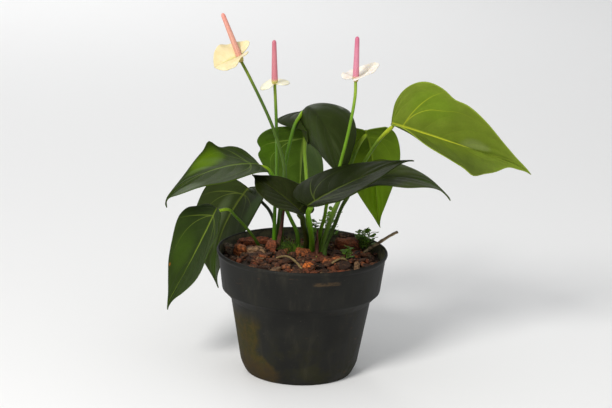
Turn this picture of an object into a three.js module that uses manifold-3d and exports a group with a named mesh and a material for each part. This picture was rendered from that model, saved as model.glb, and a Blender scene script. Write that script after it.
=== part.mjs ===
// A flowering anthurium in a round plastic nursery pot.
// Millimetres, +Z up, origin at the centre of the pot's base.
import * as THREE from 'three';
import { mergeVertices } from 'three/addons/utils/BufferGeometryUtils.js';
import Module from 'manifold-3d';

const wasm = await Module();
wasm.setup();

// ---- driving dimensions -------------------------------------------------------------------------

const POT = {
  height: 110, rimRadius: 75, wall: 1.8, floor: 2.4, lip: 2.6,
  collarRadius: 69.5, collarDrop: 35, collarSlant: 8,
  bodyTopRadius: 61.5, bodyBottomRadius: 52, baseRadius: 46.5, edgeHeight: 12,
  drainHoles: 8, drainRadius: 4, drainCircle: 36, segments: 32,
};
const SOIL_TOP = 94;          // height of the potting mix at the pot's wall
const MOUND = 3;              // how much higher it is in the middle
const MULCH = 4.6;            // thickness of the matted bark under the loose chips
const CHIPS = 12;             // chips that stand out of the bark mulch
const GAP = 0.3;              // clearance between neighbouring pieces
const SHEET = 0.8;            // thickness of a leaf blade
const SPATHE_SHEET = 0.9;     // thickness of a spathe
const STALK_RADIUS = 1.5;     // petioles, above their wider base
const ROOTED = 88;            // height at which the stalks meet the rhizome
const SEATED = 2.5;           // how far a petiole runs on below the midrib
const GOLDEN_ANGLE = 2.39996; // spreads chips, leaves and tufts evenly round a centre

// Each leaf: where its stalk joins the blade, the compass heading of the midrib (0 is +X, 90 is +Y) and
// how far it veers, the midrib's pitch at the base and at the tip and how late it bends, length and
// width, roll about the midrib at base and tip, the V fold along the midrib, the curl of the halves, the
// depth of the two lobes behind the stalk and their lift, the edge's waves, and the hook of the last
// fifth. A dent pulls one half's edge in, at a place along the leaf and by a share of its width there,
// or out if negative. The stalk runs from below the blade down to the rhizome's height, and its girth is
// 1 where none is given.
const LEAVES = [
  { name: 'leaf_right_high', at: [73.5, 2.5, 224.5], heading: 4, veer: -14, pitch: [-16, -16],
    bend: 1.2, length: 130, width: 95, roll: [-41, -90], fold: 42, curl: -24,
    lobe: [0.02, 0.02], lift: 8, wave: 3.7, phase: 1.6, hook: -32,
    dents: [[-1, 0.34, 0.07], [1, 0.61, -0.28], [1, 0.84, 0.43]],
    stalk: [[66, 10, 211], [56, 30, 190], [43, 33, 166], [28.5, 22, 144.5], [25, 19, 136],
      [22.5, 16, 128.5], [19.5, 11, 119.5], [17.5, 7.5, 110.5], [16, 5, 103]] },
  { name: 'leaf_back_centre', at: [-3.5, 60.5, 220], heading: -75, veer: 33, pitch: [71, -78],
    bend: 0.45, length: 111, width: 73, roll: [-38, -65], fold: -19, curl: 62,
    lobe: [0.02, 0.26], lift: 64, wave: 3.1, phase: 4.3,
    dents: [[-1, 0.04, -0.19]],
    stalk: [[-4.5, 54, 219.5], [-6.5, 47.5, 217.5], [-9, 42.5, 214.5], [-11, 40, 210],
      [-13, 39, 201.5], [-15.5, 40, 189.5], [-17.5, 41, 175.5], [-19, 41, 157], [-20.5, 40, 139],
      [-22, 38, 118], [-22, 37, 104]] },
  { name: 'leaf_back_left', at: [-1.5, 67.5, 200], heading: 111, veer: -23, pitch: [-71, -95],
    bend: 0.85, length: 84, width: 87, roll: [27, -14], fold: 27, curl: -32,
    lobe: [0.07, 0.08], lift: -8, wave: 1.1, phase: 4,
    dents: [[-1, 0.28, 0.11]],
    stalk: [[-1, 62, 186], [1, 55, 167], [3, 44, 147], [3.5, 34, 125], [3, 24, 104]] },
  { name: 'leaf_front_left', at: [-0.5, -44.5, 154], heading: 153, veer: -16, pitch: [33, 15],
    bend: 1.15, length: 61, width: 61, roll: [-10, 15], fold: 14, curl: 17,
    lobe: [0.07, 0.05], lift: -2, wave: 1.1, phase: 3.4, hook: -11, girth: 1.5,
    stalk: [[-1, -36, 148], [0, -24, 139], [2, -10, 128.5], [3.5, 4, 116.5], [3, 15, 104]] },
  { name: 'leaf_front_right', at: [3.5, -64.5, 166], heading: 30, veer: -9, pitch: [33, 15],
    bend: 0.3, length: 105, width: 72, roll: [0, 1], fold: 10, curl: 3,
    lobe: [0.02, -0.11], lift: 0, wave: 0.4, phase: 3.1, hook: -22, girth: 1.35,
    stalk: [[4, -52, 156.5], [5.5, -36, 144.5], [7, -18, 130.5], [8, -4, 119.5], [8.5, 8.5, 105]] },
  { name: 'leaf_back_right', at: [53, 43, 208], heading: 70, veer: -1, pitch: [-27, -77],
    bend: 0.3, length: 115, width: 52, roll: [5, 48], fold: 12, curl: 2,
    lobe: [0.05, 0.04], lift: -10, wave: 2, phase: 0.5, hook: 39,
    stalk: [[49, 41, 200], [42, 39, 183], [36, 36, 160], [28, 30, 138], [20, 24, 117], [16, 19, 104]] },
  { name: 'leaf_right_low', at: [35.5, -10, 162], heading: -1, veer: 27, pitch: [46, -45],
    bend: 0.85, length: 107, width: 74, roll: [3, -14], fold: 9, curl: 7,
    lobe: [0.04, 0.04], lift: 0, wave: 2.7, phase: 4.5, hook: -10,
    stalk: [[33.5, -5, 151.5], [31, -2, 144], [28.5, 0, 135.5], [25, 1, 126], [22, 0.5, 118],
      [20, -0.5, 111], [19.5, -2, 103]] },
  { name: 'leaf_left_high', at: [-40.5, 2.5, 184.5], heading: 203, veer: -39, pitch: [11, -50],
    bend: 0.8, length: 98, width: 80, roll: [5, 15], fold: -6, curl: -26,
    lobe: [0.02, 0.02], lift: 1, wave: 2, phase: 1.7, hook: -63,
    dents: [[1, 0.27, 0.06], [1, 0.37, -0.21]],
    stalk: [[-32, 9, 178.5], [-22, 14, 159], [-15.5, 17, 141.5], [-11, 18, 132], [-5, 19, 119],
      [-3.5, 20, 104]] },
  { name: 'leaf_left_middle', at: [-51.5, 104.5, 137], heading: 223, veer: -29, pitch: [-41, -106],
    bend: 1.15, length: 102, width: 84, roll: [1, 15], fold: 19, curl: 12,
    lobe: [0.02, 0.02], lift: 0, wave: 1.5, phase: 0.6,
    stalk: [[-47, 90, 138.5], [-39, 78, 132], [-32, 66, 128], [-27.5, 56, 122.5], [-24, 48, 111.5],
      [-23, 44, 102.5]] },
  { name: 'leaf_left_low', at: [-75, -9, 147], heading: 197, veer: -2, pitch: [-66, -60],
    bend: 1, length: 100, width: 74, roll: [8, 24], fold: 4, curl: -21,
    lobe: [-0.14, -0.1], lift: 0, wave: 1.4, phase: 4.6, hook: -27, girth: 0.8,
    stalk: [[-65.5, -7, 145.5], [-59.5, -3, 139], [-53, 3, 130.5], [-45.5, 11, 119.5],
      [-40.5, 18, 110], [-37.5, 24, 102]] },
];

// Each bloom: its flower stalk from the rhizome's height up, the tip of its spadix, and its spathe in a
// leaf's terms.
const BLOOMS = [
  { name: 'bloom_left', tip: [-75.5, 20, 313],
    stalk: [[-18.5, 32.5, 103], [-19, 32.5, 118], [-19, 31, 132], [-18, 29, 146.5], [-17, 24, 166],
      [-19.5, 20, 185], [-30, 19, 216], [-50, 18, 257], [-58, 20, 271]],
    spathe: { rise: 5, heading: 194, veer: 11, pitch: [-20, -24], bend: 1, length: 24, width: 33,
      roll: [15, 51], fold: 31, curl: 16, lobe: [0.33, 0.56], lift: 12, wave: 1.2, phase: 1.5 } },
  { name: 'bloom_middle', tip: [-30.3, 26, 290],
    stalk: [[-25.5, 30, 104], [-25.5, 30, 123], [-25.5, 30, 139.5], [-25, 30, 155], [-25, 28, 183],
      [-26.5, 26, 219], [-28.7, 26, 251]],
    spathe: { rise: 0.5, heading: 94, veer: 5, pitch: [-5, 3], bend: 1, length: 25, width: 28,
      roll: [13, 13], fold: -7, curl: 13, lobe: [0.39, 0.31], lift: -4, wave: 0.4, phase: 6.1 } },
  { name: 'bloom_right', tip: [41, 0, 300],
    stalk: [[14.5, 14, 104], [15, 13, 117], [16, 9, 127], [18.5, 2, 139], [20, -6, 153],
      [24, -10, 166.5], [30, -10, 189], [37, -9, 222], [41, -3, 249], [41, 0, 261]],
    spathe: { rise: 3, heading: 50, veer: 12, pitch: [-3, 41], bend: 1, length: 30, width: 34,
      roll: [7, 23], fold: 15, curl: 1, lobe: [0.26, 0.39], lift: -16, wave: 0.6, phase: 2.7 } },
];

const RHIZOME = [
  [-42, 24, 84], [-29, 31, 84], [-17, 31, 84], [-7, 18, 84], [2, 4, 84], [13, 4, 84], [25, 0, 84],
];
const ROOTS = [
  [[-38, 24, 84], [-48, 12, 70], [-46, -2, 50], [-40, -12, 28]],
  [[-24, 31, 84], [-28, 44, 70], [-20, 44, 46], [-14, 38, 26]],
  [[4, 4, 84], [6, -18, 70], [12, -34, 54], [8, -38, 26]],
  [[12, 2, 84], [26, 20, 72], [34, 34, 52], [28, 36, 24]],
  [[22, 0, 84], [42, -6, 72], [45, -14, 50], [38, -20, 26]],
];
const SHEATHS = [
  { name: 'sheath_left', radius: 2,
    path: [[-21, 24.5, 94], [-21, 25, 108], [-19.5, 26, 121.5], [-17.5, 25.5, 136],
      [-16.5, 25, 146.5]] },
  { name: 'sheath_centre', radius: 2,
    path: [[12.8, 0, 94], [12.8, 0, 112], [12.8, 1, 128]] },
  { name: 'sheath_bud', radius: 2,
    path: [[12.5, -7, 94], [12.5, -7, 101], [12.5, -7, 106]] },
];
const TWIG = [[50, 20.5, 96], [55, 21, 102.5], [60, 22, 106.5], [67, 22, 111.5], [77, 22, 118.5],
  [84, 22, 122.5]];
const AERIAL_ROOTS = [
  { name: 'aerial_root_front',
    path: [[-27, -11, 97], [-26, -12, 101], [-22.5, -15, 105], [-18, -19, 108], [-11.5, -26, 110],
      [-5, -33, 107.5], [0.5, -40, 102.5], [2, -42, 98]] },
  { name: 'aerial_root_right',
    path: [[22, -22, 97], [24.5, -22, 102.5], [29.5, -21, 106.5], [34.5, -19, 108], [39, -17, 105.5],
      [41, -16, 98]] },
];
// Big loose chunks of bark: centre, length, width, height and turn in degrees.
const CHUNKS = [
  { name: 'bark_chunk_grey', at: [-65, 12.5, 104.5], size: [7.5, 8.5, 9], turn: 12, color: 0x77736b },
  { name: 'bark_chunk_orange', at: [-54.6, 10, 104], size: [11.5, 11, 10], turn: -10, color: 0xb0683c },
  { name: 'bark_chunk_tan', at: [-40.5, 9, 103.5], size: [15.5, 10, 8], turn: 8, color: 0x8e7a62 },
  { name: 'bark_chunk_red', at: [39.5, 35, 105.5], size: [24, 13, 11], turn: 8, color: 0x96502f },
  { name: 'bark_chunk_middle', at: [1.2, 3.5, 103.5], size: [15, 11, 10.5], turn: -14, color: 0xa45a30 },
  { name: 'bark_chunk_bright', at: [6, -33, 102.5], size: [13, 8, 6.5], turn: 10, color: 0xc06a30 },
  { name: 'bark_chunk_dark', at: [29, 10, 103], size: [16, 6, 6], turn: 35, color: 0x5a3626 },
  { name: 'bark_chunk_back', at: [-42.5, 36, 105.5], size: [31, 8, 5], turn: 10, color: 0xa05834 },
  { name: 'bark_chunk_block', at: [-27.2, 17, 104.5], size: [9.5, 10, 13], turn: -6, color: 0x8a4a30 },
  { name: 'bark_chunk_front', at: [26.5, -13, 102.5], size: [18, 9, 7], turn: 12, color: 0xa45c30 },
  { name: 'bark_chunk_rear', at: [39.5, 47, 106], size: [16, 9.5, 13], turn: 15, color: 0x6a3624 },
];
// Seedling weeds: root, height, spread and number of leaves.
const WEEDS = [
  { name: 'weed_right_rim', at: [57, 29.5, 98], tall: 20, spread: 8.5, leaves: 7 },
  { name: 'weed_right', at: [52.5, 39, 98], tall: 20, spread: 5.5, leaves: 6 },
  { name: 'weed_back', at: [23, 48, 98], tall: 33, spread: 10, leaves: 8 },
  { name: 'weed_centre', at: [10, 48, 98], tall: 25, spread: 6, leaves: 5 },
  { name: 'weed_front', at: [39, -8, 98], tall: 16, spread: 4, leaves: 3 },
];
const CHUNK_ROOM = 0.8;       // how much bigger than a chunk its place in the bark is
const MOSS_ROOM = 5;          // room in the bark for the tufts round the moss
const MOSS = { at: [-11, 18, 99], radius: 9, height: 16, tufts: 12 };

// ---- materials ----------------------------------------------------------------------------------

const finish = (color, roughness) => new THREE.MeshStandardMaterial({ color, roughness, metalness: 0 });
const materials = {
  pot: finish(0x2c2c2a, 0.6), soil: finish(0x33241a, 1), bark: finish(0x8a4c2c, 0.95),
  rhizome: finish(0x8a7a50, 0.8), blade: finish(0x3f5a22, 0.4), stalk: finish(0x7da02e, 0.5),
  spathe: finish(0xf2e6b4, 0.5), spadix: finish(0xdd8a90, 0.6), sheath: finish(0x7a4632, 0.8),
  twig: finish(0x6e5a3e, 0.9), root: finish(0x9a8a60, 0.9), weed: finish(0x5c8a2c, 0.6),
  moss: finish(0x4a6a22, 0.9),
};

// ---- solids -------------------------------------------------------------------------------------

function toManifold(geometry) {
  const bare = geometry.index ? geometry.clone() : geometry;
  bare.deleteAttribute('normal');
  bare.deleteAttribute('uv');
  const merged = mergeVertices(bare, 1e-4);
  return new wasm.Manifold(new wasm.Mesh({
    numProp: 3,
    vertProperties: new Float32Array(merged.attributes.position.array),
    triVerts: new Uint32Array(merged.index.array),
  }));
}

function toGeometry(solid) {
  const mesh = solid.getMesh();
  const geometry = new THREE.BufferGeometry();
  geometry.setAttribute('position', new THREE.BufferAttribute(new Float32Array(mesh.vertProperties), 3));
  geometry.setIndex(new THREE.BufferAttribute(new Uint32Array(mesh.triVerts), 1));
  geometry.computeVertexNormals();
  return geometry;
}

// The largest body of a cut solid, so that no loose scrap is left over.
function mainBody(solid) {
  return solid.decompose().sort((a, b) => b.volume() - a.volume())[0];
}

function meshed(points, triangles) {
  const geometry = new THREE.BufferGeometry();
  const places = points.flatMap((p) => [p.x, p.y, p.z]);
  geometry.setAttribute('position', new THREE.Float32BufferAttribute(places, 3));
  geometry.setIndex(triangles.flat());
  return geometry;
}

const vector = ([x, y, z]) => new THREE.Vector3(x, y, z);

function random(seed) {
  let state = seed;
  return () => {
    state = (state * 1664525 + 1013904223) % 4294967296;
    return state / 4294967296;
  };
}

// A closed skin over rings of equal count, from the first ring to the last, with a fan on each end.
function skin(rings) {
  const sides = rings[0].length;
  const points = rings.flat();
  const triangles = [];
  for (let r = 0; r + 1 < rings.length; r++) {
    for (let k = 0; k < sides; k++) {
      const a = r * sides + k;
      const b = r * sides + (k + 1) % sides;
      triangles.push([a, b, b + sides], [a, b + sides, a + sides]);
    }
  }
  const last = (rings.length - 1) * sides;
  for (let k = 1; k + 1 < sides; k++) {
    triangles.push([0, k + 1, k], [last, last + k, last + k + 1]);
  }
  return meshed(points, triangles);
}

// A round stalk along a smooth curve through points; radiusAt gives its radius from 0 at the start to 1
// at the end.
function stalk(path, radiusAt, { sides = 6, steps = 12 } = {}) {
  const curve = new THREE.CatmullRomCurve3(path.map(vector), false, 'centripetal');
  const frames = curve.computeFrenetFrames(steps);
  const rings = [];
  for (let i = 0; i <= steps; i++) {
    const centre = curve.getPointAt(i / steps);
    const radius = radiusAt(i / steps, i);
    rings.push(Array.from({ length: sides }, (_, k) => {
      const angle = (2 * Math.PI * k) / sides;
      const r = typeof radius === 'function' ? radius(k) : radius;
      return centre.clone()
        .addScaledVector(frames.normals[i], r * Math.cos(angle))
        .addScaledVector(frames.binormals[i], r * Math.sin(angle));
    }));
  }
  return skin(rings);
}

// ---- leaf blade ---------------------------------------------------------------------------------

// The margin of one half, from the stalk round the lobe to the tip: along the midrib, across, and how
// much of the lobe's depth that point takes.
const MARGIN = [
  [0, 0, 0], [0, 0.13, 0.6], [0, 0.42, 1], [0.035, 0.72, 0.75], [0.12, 0.93, 0.25], [0.26, 1, 0],
  [0.43, 0.92, 0], [0.61, 0.69, 0], [0.77, 0.37, 0], [0.87, 0.15, 0], [0.94, 0.05, 0], [1, 0, 0],
];
// A spathe is blunter.
const SPATHE_MARGIN = [
  [0, 0, 0], [0, 0.15, 0.6], [0, 0.45, 1], [0.05, 0.75, 0.75], [0.15, 0.93, 0.25], [0.32, 1, 0],
  [0.55, 0.93, 0], [0.76, 0.72, 0], [0.91, 0.38, 0], [0.98, 0.12, 0], [1, 0, 0],
];
const ROWS = 13;
const ACROSS = [0.1, 0.4, 0.72, 1];      // where a row is split between the midrib and the margin
const HOOKED = 0.8;                      // where along the midrib a hooked tip starts
const DENT = 0.06;                       // half the length of a dent, as a share of the midrib's
const STEM = 0.01;                       // rows that start this near the stalk share its point
const NARROW = 0.9;                      // the least room in mm between two columns
const degrees = THREE.MathUtils.degToRad;

// The edge of the -1 or +1 half at a fraction of the way from the stalk round the lobe to the tip. A lobe
// below 0 is a base that falls back from the stalk.
function marginOf({ lobe, dents = [] }, outline, half) {
  const depth = lobe[half < 0 ? 0 : 1];
  const share = (across, deep) => (depth < 0 ? Math.min(across ** 2, deep) : deep);
  const curve = new THREE.CatmullRomCurve3(
    outline.map(([x, y, deep]) => new THREE.Vector3(x - depth * share(y, deep), y, 0)),
    false, 'catmullrom', 0.5);
  return (fraction) => {
    const edge = curve.getPoint(fraction);
    dents.filter(([side]) => side === half).forEach(([, place, share]) => {
      edge.y *= 1 - share * Math.exp(-(((edge.x - place) / DENT) ** 2));
    });
    return edge;
  };
}

// The midrib's point, direction, side and upper face at a fraction of its length.
function midribFrame(leaf) {
  const steps = 60;
  const turn = (s) => degrees(leaf.heading + leaf.veer * s);
  const hooked = (s) => (leaf.hook ?? 0) * Math.max(0, (s - HOOKED) / (1 - HOOKED)) ** 2;
  const pitch = (s) => degrees(
    leaf.pitch[0] + (leaf.pitch[1] - leaf.pitch[0]) * s ** leaf.bend + hooked(s));
  const direction = (s) => new THREE.Vector3(
    Math.cos(pitch(s)) * Math.cos(turn(s)), Math.cos(pitch(s)) * Math.sin(turn(s)), Math.sin(pitch(s)));
  const places = [vector(leaf.at)];
  for (let i = 1; i <= steps; i++) {
    const middle = direction((i - 0.5) / steps);
    places.push(places[i - 1].clone().addScaledVector(middle, leaf.length / steps));
  }
  return (fraction) => {
    const s = Math.min(Math.max(fraction, 0), 1);
    const i = Math.min(Math.floor(s * steps), steps - 1);
    const point = places[i].clone().lerp(places[i + 1], s * steps - i);
    const along = direction(s);
    const flatSide = new THREE.Vector3(Math.sin(turn(s)), -Math.cos(turn(s)), 0);
    const flatUp = flatSide.clone().cross(along);
    const roll = degrees(leaf.roll[0] + (leaf.roll[1] - leaf.roll[0]) * s);
    const side = flatSide.clone().multiplyScalar(Math.cos(roll)).addScaledVector(flatUp, Math.sin(roll));
    const up = flatUp.multiplyScalar(Math.cos(roll)).addScaledVector(flatSide, -Math.sin(roll));
    return { point, along, side, up };
  };
}

// Where a point of the flat leaf lies: along from 0 at the stalk to 1 at the tip, across from -1 to 1.
function bladeSurface(leaf) {
  const frameAt = midribFrame(leaf);
  const fold = degrees(leaf.fold);
  const curl = degrees(leaf.curl);
  const lift = degrees(leaf.lift);
  const reach = leaf.width / 2 / curl;
  return (along, across) => {
    const frame = frameAt(along);
    const a = Math.abs(across);
    const sideways = Math.sign(across) * reach * (Math.sin(fold) - Math.sin(fold - curl * a));
    const wave = leaf.wave * Math.sin(leaf.phase + 0.8 * Math.sign(across) + 11 * along) * a ** 3;
    const raised = reach * (Math.cos(fold - curl * a) - Math.cos(fold)) + wave;
    const behind = Math.min(along, 0) * leaf.length;
    return frame.point
      .addScaledVector(frame.side, sideways)
      .addScaledVector(frame.up, raised)
      .addScaledVector(frame.along, behind * Math.cos(lift))
      .addScaledVector(frame.up, -behind * Math.sin(lift));
  };
}

// A thin blade with a raised midrib below: both faces have the same rows and columns, joined round the
// margin.
function blade(leaf, sheet, { outline = MARGIN, rows = ROWS, grow = 0 } = {}) {
  const surface = bladeSurface(leaf);
  const margins = { [-1]: marginOf(leaf, outline, -1), 1: marginOf(leaf, outline, 1) };
  const flat = [[0, 0]];
  const grid = [];
  const columns = [...ACROSS.map((v) => -v).reverse(), 0, ...ACROSS];
  for (let r = 1; r < rows; r++) {
    const root = Math.max(0, (r / rows - 0.3) / 0.7) ** 1.25 * 0.98;
    grid.push(columns.map((v) => {
      const edge = margins[v < 0 ? -1 : 1](r / rows);
      flat.push([root + (edge.x - root) * Math.abs(v), edge.y * v]);
      return flat.length - 1;
    }));
  }
  flat.push([1, 0]);
  const tip = flat.length - 1;

  // rows near the stalk share its point, so the midrib there is that one point
  const stem = grid.filter((row) => flat[row[ACROSS.length]][0] < STEM);
  stem.forEach((row) => { row[ACROSS.length] = 0; });
  // where the blade is narrow, the columns beside the midrib join it
  grid.forEach((row) => [-1, 1].forEach((step) => {
    const beside = flat[row[ACROSS.length + step]];
    if (Math.abs(beside[1]) * leaf.width / 2 < NARROW) row[ACROSS.length + step] = row[ACROSS.length];
  }));

  const triangles = [];
  const strip = (a, b, c) => {
    if (a !== b && b !== c && a !== c) triangles.push([a, b, c]);
  };
  columns.slice(1).forEach((_, k) => {
    for (let r = 0; r + 1 < grid.length; r++) {
      const [a, b, c, d] = [grid[r][k], grid[r][k + 1], grid[r + 1][k + 1], grid[r + 1][k]];
      if (k < ACROSS.length) {
        strip(a, b, d);
        strip(b, c, d);
      } else {
        strip(a, b, c);
        strip(a, c, d);
      }
    }
    strip(grid.at(-1)[k], grid.at(-1)[k + 1], tip);
  });
  const used = [...new Set(triangles.flat())];
  const slot = new Map(used.map((v, i) => [v, i]));
  const shape = triangles.map((t) => t.map((v) => slot.get(v)));
  const places = used.map((v) => surface(...flat[v]));
  const normals = places.map(() => new THREE.Vector3());
  shape.forEach(([a, b, c]) => {
    const normal = places[b].clone().sub(places[a]).cross(places[c].clone().sub(places[a]));
    [a, b, c].forEach((v) => normals[v].add(normal));
  });
  const count = places.length;
  const half = sheet / 2 + grow;
  const upper = places.map((p, i) => p.clone().addScaledVector(normals[i].normalize(), -half));
  const lower = places.map((p, i) => {
    const [along, across] = flat[used[i]];
    const rib = across === 0 ? sheet * 1.3 * (1 - 0.8 * along) : 0;
    return p.clone().addScaledVector(normals[i], half + rib);
  });
  const edges = new Map();
  shape.forEach((t) => t.forEach((a, i) => {
    const b = t[(i + 1) % 3];
    if (!edges.delete(`${b} ${a}`)) edges.set(`${a} ${b}`, [a, b]);
  }));
  const faces = [];
  shape.forEach(([a, b, c]) => faces.push([a + count, b + count, c + count], [a, c, b]));
  edges.forEach(([a, b]) => faces.push([a, b, b + count], [a, b + count, a + count]));
  return meshed([...upper, ...lower], faces);
}

// ---- pot, potting mix and bark ------------------------------------------------------------------

const turned = (profile) => new THREE.LatheGeometry(
  profile.map(([r, z]) => new THREE.Vector2(r, z)), POT.segments).rotateX(Math.PI / 2);

const shoulder = POT.height - POT.collarDrop;         // height of the collar's lower edge
const bodyTop = shoulder - POT.collarSlant;
const innerRadius = (z) => {
  const { clamp, mapLinear } = THREE.MathUtils;
  const between = (low, high, from, to) => mapLinear(clamp(z, low, high), low, high, from, to);
  let outer = between(POT.edgeHeight, bodyTop, POT.bodyBottomRadius, POT.bodyTopRadius);
  if (z > bodyTop) outer = between(bodyTop, shoulder, POT.bodyTopRadius, POT.collarRadius);
  if (z > shoulder) {
    outer = between(shoulder, POT.height, POT.collarRadius, POT.rimRadius - POT.lip + 1.2);
  }
  return outer - POT.wall;
};

// The rounded edge between the base and the body, outside from the base up and inside from the body down.
const outsideEdge = [
  [POT.baseRadius, 0], [POT.baseRadius + 1.4, 2], [POT.bodyBottomRadius - 1.4, POT.edgeHeight - 4.5],
  [POT.bodyBottomRadius, POT.edgeHeight],
];
const insideEdge = [
  [innerRadius(POT.edgeHeight), POT.edgeHeight], [POT.bodyBottomRadius - 3.4, POT.edgeHeight - 4.1],
  [POT.baseRadius - 1.1, POT.floor],
];

function makePot() {
  const { height, rimRadius } = POT;
  const cup = turned([
    [0, 0], ...outsideEdge,
    [POT.bodyTopRadius, bodyTop], [POT.collarRadius, shoulder], [rimRadius - 1.4, height - 4],
    [rimRadius, height - 2.4], [rimRadius - 0.3, height - 0.5], [rimRadius - 1.5, height],
    [rimRadius - POT.lip, height - 1], [innerRadius(shoulder), shoulder],
    [innerRadius(bodyTop), bodyTop], ...insideEdge, [0, POT.floor],
  ]);
  let pot = toManifold(cup);
  for (let i = 0; i < POT.drainHoles; i++) {
    const angle = (2 * Math.PI * (i + 0.5)) / POT.drainHoles;
    const [x, y] = [POT.drainCircle * Math.cos(angle), POT.drainCircle * Math.sin(angle)];
    const hole = new THREE.CylinderGeometry(POT.drainRadius, POT.drainRadius, 4 * POT.floor, 8)
      .rotateX(Math.PI / 2).translate(x, y, 0);
    pot = pot.subtract(toManifold(hole));
  }
  return pot;
}

const groundHeight = (radius) => (
  SOIL_TOP + MOUND * Math.max(0, 1 - (radius / innerRadius(SOIL_TOP)) ** 2));

function makeSoil() {
  const rim = innerRadius(SOIL_TOP) - GAP;
  return toManifold(turned([
    [0, POT.floor + GAP], ...insideEdge.map(([r, z]) => [r - GAP, z + GAP]).reverse(),
    [innerRadius(bodyTop) - GAP, bodyTop + GAP],
    [innerRadius(shoulder) - GAP, shoulder + GAP], [rim, SOIL_TOP],
    [40, groundHeight(40)], [0, groundHeight(0)],
  ]));
}

// The room that the potting mix and its clearance take up, for cutting what lies on it.
function groundSpace(clearance) {
  const wide = POT.rimRadius;
  return toManifold(turned([[0, 60], [wide, 60], [wide, SOIL_TOP + clearance],
    ...[innerRadius(SOIL_TOP) - GAP, 40, 0].map((r) => [r, groundHeight(r) + clearance])]));
}

// A chip of bark: a block with every corner pushed about.
function chip(size, next) {
  const block = new THREE.BoxGeometry(...size);
  block.deleteAttribute('normal');
  block.deleteAttribute('uv');
  const geometry = mergeVertices(block);
  const at = geometry.attributes.position;
  for (let i = 0; i < at.count; i++) {
    const [x, y, z] = [0.66 + 0.5 * next(), 0.6 + 0.6 * next(), 0.7 + 0.5 * next()];
    at.setXYZ(i, at.getX(i) * x, at.getY(i) * y, at.getZ(i) * z);
  }
  return geometry;
}

function makeMulch(next) {
  const rim = innerRadius(SOIL_TOP + MULCH) - GAP;
  const bottom = (r) => groundHeight(r) + 2 * GAP;
  const sheet = [[0, bottom(0)], [40, bottom(40)], [rim - 0.5, SOIL_TOP + 3 * GAP],
    [rim, SOIL_TOP + MULCH], [40, bottom(40) + MULCH], [0, bottom(0) + MULCH]];
  let mulch = toManifold(turned(sheet));
  for (let i = 0; i < CHIPS; i++) {
    const radius = (rim - 9) * Math.sqrt((i + 0.5) / CHIPS);
    const angle = i * GOLDEN_ANGLE;
    const size = [10 + 9 * next(), 8 + 5 * next(), 4 + 4 * next()];
    const piece = chip(size, next)
      .rotateX(0.5 * (next() - 0.5)).rotateY(0.4 * (next() - 0.5)).rotateZ(6.28 * next())
      .translate(radius * Math.cos(angle), radius * Math.sin(angle), bottom(radius) + MULCH + 0.6);
    mulch = mulch.add(toManifold(piece));
  }
  return mulch;
}

function makeChunk({ at, size, turn }, next, grow = 0) {
  const piece = chip(size.map((v) => v + grow), next);
  return toManifold(piece.rotateX(0.15).rotateZ(degrees(turn)).translate(...at));
}

// ---- seedlings and moss -------------------------------------------------------------------------

const seedlingRadius = 0.45;
const seedlingRoom = { radius: 1.5, bottom: 90, top: 116 };     // the hole for its stem

function makeWeed({ at, tall, spread, leaves }, next) {
  const stem = [at, [at[0], at[1] + 1, at[2] + tall / 2], [at[0] + 0.3 * spread, at[1], at[2] + tall]];
  const stemCurve = new THREE.CatmullRomCurve3(stem.map(vector), false, 'centripetal');
  let weed = toManifold(stalk(stem, () => seedlingRadius * 1.3, { sides: 4, steps: 3 }));
  for (let i = 0; i < leaves; i++) {
    const height = 0.35 + (0.6 * i) / (leaves - 1);
    const angle = i * GOLDEN_ANGLE;
    const from = stemCurve.getPointAt(height).toArray();
    const reach = spread * (1.15 - 0.6 * height) * (0.7 + 0.5 * next());
    const rise = 2.5 * next() + 1;
    const to = [
      from[0] + reach * Math.cos(angle), from[1] + reach * Math.sin(angle), from[2] + rise];
    weed = weed.add(toManifold(stalk([from, to], () => seedlingRadius, { sides: 3, steps: 1 })));
    const leaf = new THREE.SphereGeometry(1.9 + 0.6 * next(), 5, 2).scale(1, 1, 0.35)
      .rotateX(0.5 * (next() - 0.5)).rotateZ(angle).translate(...to);
    weed = weed.add(toManifold(leaf));
  }
  return mainBody(weed);
}

// The moss cushion, with room round and above it.
function cushion(round = 0, above = 0) {
  const [x, y, z] = MOSS.at;
  return toManifold(new THREE.SphereGeometry(1, 8, 5)
    .scale(MOSS.radius + round, MOSS.radius * 0.8 + round, MOSS.height * 0.55 + above)
    .translate(x, y, z + 1));
}

function makeMoss(next) {
  let moss = cushion();
  for (let i = 0; i < MOSS.tufts; i++) {
    const lean = 0.15 + 0.85 * Math.sqrt((i + 0.5) / MOSS.tufts);
    const angle = i * GOLDEN_ANGLE;
    const reach = MOSS.height * (0.8 + 0.35 * next());
    const tip = [
      MOSS.at[0] + lean * reach * Math.cos(angle), MOSS.at[1] + lean * reach * Math.sin(angle) * 0.8,
      MOSS.at[2] + 2 + reach * (1.15 - 0.75 * lean)];
    moss = moss.add(toManifold(stalk([MOSS.at, tip], (t) => 1.5 - 1.2 * t, { sides: 4, steps: 2 })));
  }
  return moss;
}

// ---- plant --------------------------------------------------------------------------------------

// A stalk swells at its foot and, on a leaf, at the joint below the blade.
const petioleRadius = (girth, grow) => (t) =>
  girth * (STALK_RADIUS + 0.7 * t ** 3 + 0.3 * Math.exp(-18 * t)) + grow;
const peduncleRadius = (grow) => (t) => STALK_RADIUS + grow - 0.15 * t + 0.5 * (1 - t) ** 4;

const footOf = ([x, y]) => [x, y, ROOTED];

function petiole(leaf, grow = 0) {
  const { girth = 1 } = leaf;
  const frame = midribFrame(leaf)(0);
  const seat = frame.point
    .addScaledVector(frame.up, -0.5 - girth * STALK_RADIUS).addScaledVector(frame.along, SEATED)
    .toArray();
  const path = [seat, ...leaf.stalk, footOf(leaf.stalk.at(-1))];
  return toManifold(stalk(path, petioleRadius(girth, grow), { steps: 12 }));
}

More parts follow.
